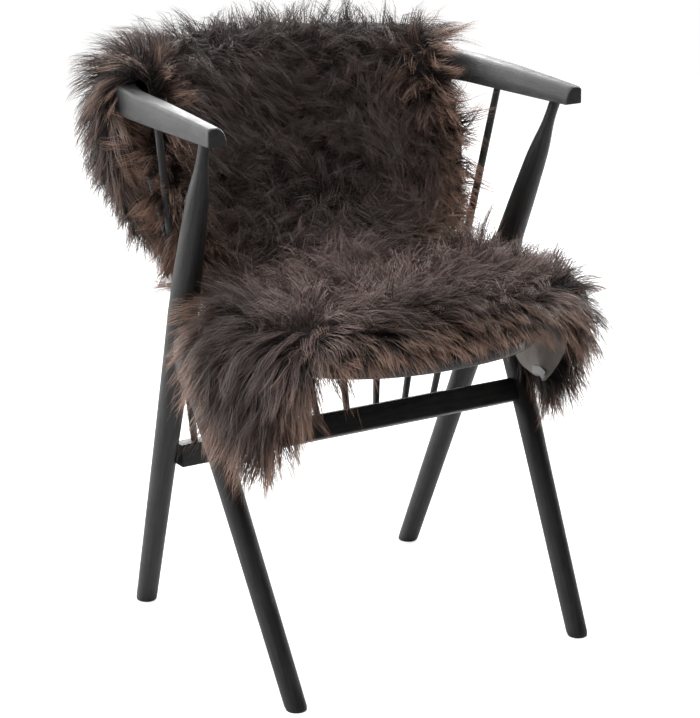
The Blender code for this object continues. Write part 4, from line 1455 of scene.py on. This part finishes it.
@dataclass
class LongWool:
    """The long wool: locks of tapered fibres that gather towards their tips."""

    hide: Hide
    fibres: int = 118000
    locks: int = 7600
    seed: int = 1842
    lock_radius: float = 0.0064
    places: tuple = (0.0, 0.25, 0.50, 0.75, 1.0)
    half_width: float = 0.00042
    length_share: float = 1.06
    length_limits: tuple[float, float] = (0.036, 0.074)
    crest: tuple[float, float] = (0.600, 0.060)  # along the hide, half length
    length_spread: tuple[float, float] = (0.78, 1.18)
    gather: float = 0.55
    wave: float = 0.0026
    waves: tuple[float, float] = (0.9, 1.6)
    fall: float = 0.55
    flow: float = 0.75
    stray: float = 0.26
    rim_reach: float = 0.034
    rim_lean: float = 0.52
    rim_pull: float = 0.7
    # From and length of smooth steps along the hide, or across it from the middle
    seat_end: Span = (0.22, 0.10)
    forward_end: Span = (0.02, 0.20)
    back_start: Span = (0.36, 0.12)
    left_lobe: Span = (0.14, 0.06)
    lobe_turn: float = 1.3
    # How far the comb draws forwards, up the back, sideways (all over, and more on the
    # seat), down (and less up the back, as far as the crest) and into the swirl
    forwards: float = 1.1
    upwards: float = 0.75
    sideways: Span = (0.45, 0.35)
    downwards: Span = (0.55, 0.75)
    crest_start: float = 0.62
    crest_calm: float = 0.7
    swirl: float = 0.30
    swirls: tuple = ((21.0, 3.0, 13.0, 47.0, 31.0), (19.0, 2.5, 17.0, 43.0, -29.0),
                     (23.0, 2.0, 11.0, 51.0, 23.0))
    swirl_fine: float = 0.6
    fall_calm: float = 0.6
    lie_down: float = 0.6
    lean_over: Span = (0.4, 0.8)
    axis_points: int = 21
    least_rise: float = 0.45
    own_length: Span = (0.72, 1.10)
    loose_share: float = 0.07
    loose_length: float = 1.15
    loose_gather: float = -0.3
    gather_power: float = 1.4
    wave_start: float = 1.6
    wave_spread: float = 0.5
    jitter: float = 0.0009
    facing: Span = (0.7, 0.30)
    tone_mix: Span = (0.7, 0.3)
    rim_mix: float = 0.2
    # Where a painted highlight makes the seat's wool paler: from and length of steps along and
    # across
    highlight_start: Span = (0.04, 0.08)
    highlight_end: Span = (0.24, 0.12)
    highlight_side: Span = (0.13, 0.08)
    taper_power: float = 2.4
    warm_reach: float = 0.13
    dense_reach: float = 0.075
    rim_extra: float = 1.3
    crest_extra: float = 1.7
    flap_extra: float = 0.8
    seat_edge: float = 0.165
    box_give: float = 0.011

    def scatter(self, count: int, chance: np.random.Generator) -> tuple[Array, Array]:
        """Places on the hide, by area and closer together towards the rims.

        Args:
            count: How many.
            chance: Seeded source of chance.

        Returns:
            Places counted in lines and in columns.
        """
        near = 1.0 - smooth_step(self.hide.nearest[:-1, :-1] / self.dense_reach)
        crest = self.on_crest(self.hide.along[:-1, :-1])
        weight = 1.0 + self.rim_extra * near + self.crest_extra * crest
        on_seat = self.hide.along[:-1, :-1] < WoolPart.BACK_LOW.value[0]
        aside = np.abs(self.hide.grid[:-1, :-1, 0]) > self.seat_edge
        weight += self.flap_extra * (on_seat & aside)
        share = np.cumsum((self.hide.cell_area * weight).ravel())
        ticks = (np.arange(count) + chance.random(count)) / count * share[-1]
        cell = np.minimum(np.searchsorted(share, ticks), len(share) - 1)
        v, u = np.divmod(cell, self.hide.cell_area.shape[1])
        return v + chance.random(count), u + chance.random(count)

    def drift(self, where: Array) -> Array:
        """A slow swirl: for each axis p with the next ones q and r, and waves a to e,
        sin(a q + b sin(c r)) + m sin(d p + e r), m being swirl_fine.
        """
        return np.stack([
            np.sin(a * where[:, k - 2] + b * np.sin(c * where[:, k - 1]))
            + self.swirl_fine * np.sin(d * where[:, k] + e * where[:, k - 1])
            for k, (a, b, c, d, e) in enumerate(self.swirls)
        ], -1)

    def comb(self, v: Array, u: Array, where: Array, normal: Array) -> Array:
        """The way in which the locks lie: outwards on the seat, down on the flaps, up the
        back and over the rail, with a slow swirl.

        Args:
            v: Places counted in lines.
            u: Places counted in columns.
            where: Points on the hide.
            normal: Normals there.

        Returns:
            Vectors along the hide, with lengths up to about 1.
        """
        hide = self.hide
        along = hide.read(hide.along, v, u)
        across = hide.read(hide.across, v, u) / hide.read(np.broadcast_to(
            hide.width, hide.across.shape), v, u)
        tangent_u = hide.read(hide.tangent_u, v, u)
        tangent_v = hide.read(hide.tangent_v, v, u)
        side = (2.0 * across - 1.0)[:, None]
        on_seat = 1.0 - ramp(along, *self.seat_end)
        forward = 1.0 - ramp(along, *self.forward_end)
        forward = forward * (1.0 - self.lobe_turn * ramp(-where[:, 0], *self.left_lobe))
        up_back = ramp(along, *self.back_start) * (1.0 - self.crest_calm * self.on_crest(along))
        way = tangent_v * (self.upwards * up_back - self.forwards * forward * on_seat)[:, None]
        everywhere, more = self.sideways
        way = way + tangent_u * side * (everywhere + more * on_seat)[:, None]
        down = -UP - (-UP * normal).sum(1, keepdims=True) * normal
        drop, less = self.downwards
        way = way + drop * down * (1.0 - less * up_back * (along < self.crest_start))[:, None]
        swirl = self.drift(where)
        swirl = swirl - (swirl * normal).sum(1, keepdims=True) * normal
        return way + self.swirl * swirl

    def on_crest(self, along: Array) -> Array:
        """1 on top of the arm rail to 0 away from it, as a bell curve."""
        middle, half = self.crest
        return np.exp(-(((along - middle) / half) ** 2))

    def rim_way(self, v: Array, u: Array) -> tuple[Array, Array]:
        """The way out of the hide at its nearest edge, and 1 at the edge to 0 inside."""
        hide = self.hide
        across = hide.read(hide.across, v, u)
        width = hide.read(np.broadcast_to(hide.width, hide.across.shape), v, u)
        along = hide.read(hide.along, v, u)
        last = hide.read(np.broadcast_to(hide.along[-1:], hide.along.shape), v, u)
        slant = hide.read(hide.slant, v, u)[:, None]
        distances = np.stack([across, width - across, along, last - along], -1) * slant
        near = 1.0 - smooth_step(distances / self.rim_reach)
        tangent_u = hide.read(hide.tangent_u, v, u)
        tangent_v = hide.read(hide.tangent_v, v, u)
        lean = (tangent_u * tangent_v).sum(axis=1, keepdims=True)
        aside, ahead = unit(tangent_u - lean * tangent_v), unit(tangent_v - lean * tangent_u)
        ways = np.stack([-aside, aside, -ahead, ahead], 1)
        out = (near[..., None] * ways).sum(axis=1)
        return out, np.clip(near.max(axis=1), 0.0, 1.0)

    def grow(self) -> tuple[Array, Array, dict[str, Array], Array, Array]:
        """Grows every fibre along its lock.

        A lock's axis is A(t) = C + L integral of unit(n (1 - a t) + c (b + d t) + f t down),
        with n the normal, c the comb, f the fall, a lie_down, and b and d lean_over.  A fibre
        is S(t) = R + k (A(t) - C) + g t^p (C - R) + wave, with R its root, g the gather and p
        its power.

        Returns:
            Points of the fibres, the way each faces, named values, its place along the
            hide and its place across.
        """
        hide, chance = self.hide, np.random.default_rng(self.seed)
        t = np.array(self.places)
        lock_v, lock_u = self.scatter(self.locks, chance)
        centre = hide.read(hide.grid, lock_v, lock_u)
        normal = unit(hide.read(hide.normals, lock_v, lock_u))
        comb = self.flow * self.comb(lock_v, lock_u, centre, normal)
        comb = comb + self.stray * chance.standard_normal(comb.shape)
        out, rim = self.rim_way(lock_v, lock_u)
        comb = comb + self.rim_pull * out
        stand = 1.0 - self.rim_lean * rim
        crest = self.on_crest(hide.read(hide.along, lock_v, lock_u))
        fall = self.fall * (1.0 - self.fall_calm * crest)
        fine = np.linspace(0.0, 1.0, self.axis_points)
        lean, lean_more = self.lean_over
        way = (
            normal[:, None] * (stand[:, None] * (1.0 - self.lie_down * fine))[..., None]
            + comb[:, None] * (lean + lean_more * fine)[None, :, None]
            - UP * (fall[:, None] * fine)[..., None]
        )
        way = unit(way)
        path = np.concatenate([np.zeros((self.locks, 1, 3)),
                               np.cumsum((way[:, 1:] + way[:, :-1]) / 2, axis=1)], 1)
        path /= len(fine) - 1
        rise = np.clip((path[:, -1] * normal).sum(1), self.least_rise, 1.0)
        height = hide.read(hide.full_pile, lock_v, lock_u)
        length = np.clip(self.length_share * height / rise, *self.length_limits)
        length = length * chance.uniform(*self.length_spread, self.locks)
        path *= length[:, None, None]
        pick = np.rint(t * (len(fine) - 1)).astype(int)
        path = path[:, pick]
        side = unit(np.cross(normal, comb + 1e-4))
        turns = chance.uniform(*self.waves, self.locks)
        phase = chance.random(self.locks) * FULL_TURN
        tone = chance.random(self.locks)

        lock = np.sort(chance.integers(0, self.locks, self.fibres))
        spread = chance.standard_normal((self.fibres, 2)) * self.lock_radius
        step_v = hide.read(np.gradient(hide.along, axis=0), lock_v[lock], lock_u[lock])
        step_u = hide.read(np.gradient(hide.across, axis=1), lock_v[lock], lock_u[lock])
        lines, columns = hide.grid.shape[:2]
        v = np.clip(lock_v[lock] + spread[:, 0] / step_v, 0.0, lines - 1.001)
        u = np.clip(lock_u[lock] + spread[:, 1] / step_u, 0.0, columns - 1.001)
        root = hide.read(hide.grid, v, u)
        root = root + hide.thickness * unit(hide.read(hide.normals, v, u))
        own = chance.uniform(*self.own_length, self.fibres)
        loose = chance.random(self.fibres) < self.loose_share
        own = np.where(loose, own * self.loose_length, own)
        gather = np.where(loose, self.loose_gather, self.gather)
        curve = path[lock] * own[:, None, None]
        draw = gather[:, None] * t**self.gather_power
        pull = (centre[lock] - root)[:, None] * draw[..., None]
        swing = np.sin(
            FULL_TURN * turns[lock][:, None] * t + phase[lock][:, None]
            + self.wave_spread * chance.standard_normal(self.fibres)[:, None]
        )
        swing = (swing - swing[:, :1]) * self.wave * np.minimum(1.0, self.wave_start * t)
        points = root[:, None] + curve + pull + swing[..., None] * side[lock][:, None]
        jitter = chance.standard_normal(points.shape) * self.jitter
        points = points + jitter * t[None, :, None]
        radial = unit(root - centre[lock])
        outwards, anyhow = self.facing
        facing = normal[lock] + outwards * radial
        facing = facing + anyhow * chance.standard_normal(root.shape)
        of_lock, of_fibre = self.tone_mix
        along = hide.read(hide.along, v, u)
        # A painted highlight on the seat's top, fading out towards the front edge, the back and
        # the sides.
        pale = ramp(along, *self.highlight_start) * (1.0 - ramp(along, *self.highlight_end))
        values = {
            "way": t[None],
            "tone": (of_lock * tone[lock] + of_fibre * chance.random(self.fibres))[:, None],
            # The rim value also sets the painted backlight glow on the tips.
            "rim": np.clip(rim[lock] + self.rim_mix * (tone[lock] - 0.5), 0.0, 1.0)[:, None],
            "seat": (pale * (1.0 - ramp(np.abs(root[:, 0]), *self.highlight_side)))[:, None],
            "warm": 1.0 - smooth_step(hide.read(hide.nearest, v, u) / self.warm_reach)[:, None],
        }
        shape = (self.fibres, len(t))
        values = {key: np.broadcast_to(numbers, shape) for key, numbers in values.items()}
        return self.keep_in_box(points), unit(facing), values, along, root[:, 0]

    def keep_in_box(self, points: Array) -> Array:
        """Points past the CAD's box drawn back to within a few millimetres of it."""
        low, high = (np.array(corner) - CHAIR_SHIFT for corner in CAD_BOX)
        give = self.box_give
        over = np.maximum(points - high, 0.0)
        under = np.maximum(low - points, 0.0)
        points = points - over + give * (1.0 - np.exp(-over / give))
        return points + under - give * (1.0 - np.exp(-under / give))

    def ribbons(self, points: Array, facing: Array) -> tuple[Array, list[Array]]:
        """Tapered ribbons: two points across at each place but one at the tip.

        The half width is w (1 - t^p), set across the fibre and square to where it faces.

        Args:
            points: Fibres by places by 3.
            facing: Where each fibre's flat side faces.

        Returns:
            The mesh's points and its blocks of faces.
        """
        t = np.array(self.places)
        count, steps = points.shape[:2]
        tangent = unit(np.gradient(points, axis=1))
        across = unit(np.cross(tangent, facing[:, None]))
        half = self.half_width * (1.0 - t**self.taper_power)
        offset = across[:, :-1] * half[None, :-1, None]
        left, right = points[:, :-1] - offset, points[:, :-1] + offset
        pairs = np.stack([left, right], 2).reshape(count, -1, 3)
        mesh_points = np.concatenate([pairs, points[:, -1:]], 1).reshape(-1, 3)
        per = 2 * (steps - 1) + 1
        base = (np.arange(count) * per)[:, None]
        k = 2 * np.arange(steps - 2)[None, :]
        quads = np.stack([base + k, base + k + 1, base + k + 3, base + k + 2], -1)
        end = base[:, 0] + per - 1
        tips = np.stack([end - 2, end - 1, end], -1)
        return mesh_points, [quads.reshape(-1, 4), tips]

    def build(self) -> list[bpy.types.Object]:
        """One joined mesh of fibres for each part of the rug."""
        points, facing, values, along, x = self.grow()
        pieces = []
        for part in WoolPart:
            start, end, side = part.value
            chosen = (along >= start) & (along < end)
            if start < WoolPart.BACK_LOW.value[0]:
                seat_side = np.where(np.abs(x) > self.seat_edge, np.sign(x), 0)
                chosen &= seat_side == side
            mesh_points, blocks = self.ribbons(points[chosen], facing[chosen])
            pairs = np.repeat(np.arange(len(self.places) - 1), 2)
            order = np.append(pairs, len(self.places) - 1)
            own = {key: numbers[chosen][:, order] for key, numbers in values.items()}
            name = "wool_" + part.name.lower()
            pieces.append(new_piece(name, mesh_points, blocks, [WOOL], None, own))
        return pieces


@dataclass
class CareLabel:
    """The blank label on the skin side of the right front lobe, beside its slanting rim."""

    hide: Hide
    length: float = 0.046
    width: float = 0.0100
    margin: float = 0.0030
    from_tip: float = 0.004
    lobe_lines: float = 0.30
    length_points: int = 60
    width_points: int = 13
    thick: float = 0.0007
    gap: float = 0.0012
    crease: float = 50.0

    def build(self) -> bpy.types.Object:
        """A thin band inside the rim R(s), B(s, w) = R(s) + (margin + w) i(s) - gap n(s).

        R runs from the lobe's lowest point towards the front edge, i points into the hide
        and n is its normal.  The band's back lies a thickness further out.
        """
        hide = self.hide
        rim = hide.grid[:, -1]
        along = running_length(rim)
        lobe = hide.along[:, hide.columns // 2] < self.lobe_lines
        tip = along[np.argmin(np.where(lobe, rim[:, 2], np.inf))]
        s = tip - self.from_tip - np.linspace(0.0, self.length, self.length_points)
        place, normal, inward = (
            np.stack([np.interp(s, along, values[:, k]) for k in range(3)], -1)
            for values in (rim, hide.normals[:, -1], -hide.tangent_u[:, -1])
        )
        normal, way = unit(normal), unit(np.gradient(place, axis=0))
        aside = unit(np.cross(way, normal))
        aside *= np.sign((aside * inward).sum(axis=1, keepdims=True))
        w = self.margin + np.linspace(0.0, self.width, self.width_points)
        near = place[:, None] + w[:, None] * aside[:, None] - self.gap * normal[:, None]
        far = near - self.thick * normal[:, None]
        rings = np.concatenate([near, far[:, ::-1]], axis=1)
        piece = swept_piece("blank_label", rings, TAPE, self.crease)
        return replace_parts(piece, "label")


@dataclass(frozen=True)
class SoftBox:
    """One soft studio light."""

    name: str
    place: Point
    aim: Point
    width: float
    height: float
    power: float
    colour: Colour = (1.0, 1.0, 1.0)

    def build(self) -> bpy.types.Object:
        """An area light that looks at its aim."""
        data = bpy.data.lights.new(self.name, "AREA")
        data.shape = "RECTANGLE"
        data.size, data.size_y = self.width, self.height
        data.energy, data.color = self.power, self.colour
        lamp = bpy.data.objects.new(self.name, data)
        bpy.context.scene.collection.objects.link(lamp)
        lamp.location = self.place
        way = Vector(self.aim) - Vector(self.place)
        lamp.rotation_euler = way.to_track_quat("-Z", "Y").to_euler()
        return lamp


@dataclass(frozen=True)
class Studio:
    """Camera at the photograph's angle, pale floor, white surround and soft lights."""

    camera_place: Point = (-1.4733, -2.4157, 1.1978)
    azimuth: float = -31.658
    elevation: float = 16.895
    lens: float = 115.70
    sensor: float = 36.0
    floor_radius: float = 14.0
    floor_rings: int = 24
    floor_sides: int = 96
    bright_way: Point = (-0.35, 0.93, 0.12)
    bright_span: Span = (-0.2, 1.0)
    dim: float = 0.06
    bright: float = 2.0
    lights: tuple = (
        # Name, place, aim, width, height, power
        SoftBox("light_left", (-2.3, 1.6, 1.2), (0.0, 0.0, 0.5), 1.6, 2.0, 80.0),
        SoftBox("light_behind", (0.8, 2.8, 1.7), (0.0, 0.0, 0.55), 2.6, 1.6, 106.0),
        SoftBox("light_top", (-0.6, -1.0, 2.8), (0.0, 0.0, 0.4), 2.0, 2.0, 64.0),
        SoftBox("light_right", (2.4, 0.8, 1.3), (0.0, 0.0, 0.5), 1.2, 1.8, 104.0),
    )

    def camera(self) -> None:
        """The camera fitted to the photograph, with no shift and no depth of field."""
        data = bpy.data.cameras.new("photo_camera")
        data.lens = self.lens
        data.sensor_width = self.sensor
        data.dof.use_dof = False
        camera = bpy.data.objects.new("photo_camera", data)
        bpy.context.scene.collection.objects.link(camera)
        camera.location = self.camera_place
        camera.rotation_euler = (
            math.radians(90.0 - self.elevation), 0.0, math.radians(self.azimuth)
        )
        bpy.context.scene.camera = camera

    def floor(self) -> None:
        """A wide disc in rings whose radius grows with the square of their number."""
        radius = self.floor_radius * np.linspace(0.0, 1.0, self.floor_rings + 1)[1:] ** 2
        turn = np.linspace(0.0, FULL_TURN, self.floor_sides, endpoint=False)
        rings = radius[:, None, None] * np.stack([np.cos(turn), np.sin(turn), 0 * turn], -1)
        points = np.concatenate([rings.reshape(-1, 3), [[0.0, 0.0, 0.0]]])
        n, m = rings.shape[:2]
        index = np.arange(n * m).reshape(n, m)
        onward = np.roll(index, -1, axis=1)
        quads = np.stack([index[:-1], index[1:], onward[1:], onward[:-1]], -1).reshape(-1, 4)
        fan = np.stack([index[0], onward[0], np.full(m, n * m)], -1)
        new_piece("studio_floor", points, [quads, fan], [PaperFloor()])

    def surround(self) -> None:
        """A white surround that lights the chair from behind more than from in front."""
        world = bpy.data.worlds.new("studio")
        world.use_nodes = True
        graph = Graph(world.node_tree)
        seen = graph.add("LightPath").outputs["Is Camera Ray"]
        way = graph.add("TexCoord").outputs["Generated"]
        facing = graph.add("VectorMath", {0: way, 1: self.bright_way}, operation="DOT_PRODUCT")
        around = graph.spread(facing.outputs["Value"], self.bright_span, self.dim, self.bright)
        strength = graph.add("Mix", {0: seen, 2: around, 3: 1.0}, data_type="FLOAT").outputs[0]
        back = world.node_tree.nodes["Background"]
        back.inputs["Color"].default_value = (1.0, 1.0, 1.0, 1.0)
        graph.feed(back, "Strength", strength)
        bpy.context.scene.world = world

    def build(self) -> None:
        """Sets up the whole studio and a plain view of its colours."""
        self.camera()
        self.floor()
        self.surround()
        for light in self.lights:
            light.build()
        bpy.context.scene.view_settings.view_transform = "Standard"


LOCK_NODES = (
    "locks_front",
    "locks_flap_left",
    "locks_flap_right",
    "locks_back_left",
    "locks_back_right",
    "locks_rear_left",
    "locks_rear_right",
    "locks_tail_left",
    "locks_tail_right",
    "locks_tail",
)


def main() -> None:
    """Builds the studio, the chair and the rug in order."""
    logging.basicConfig(level=logging.INFO, format="%(message)s")
    Studio().build()
    rail = ArmRail()
    fan = SpindleFan(rail)
    pad = SeatPad()
    rail.build()
    Legs(rail).build()
    fan.build()
    for bar in CROSS_BARS:
        bar.build()
    pad.build()
    hide = Hide(rail, fan, pad)
    skin, base = hide.build()
    label = CareLabel(hide).build()
    wool = LongWool(hide).build()
    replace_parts(base, *LOCK_NODES)


if __name__ == "__main__":
    main()
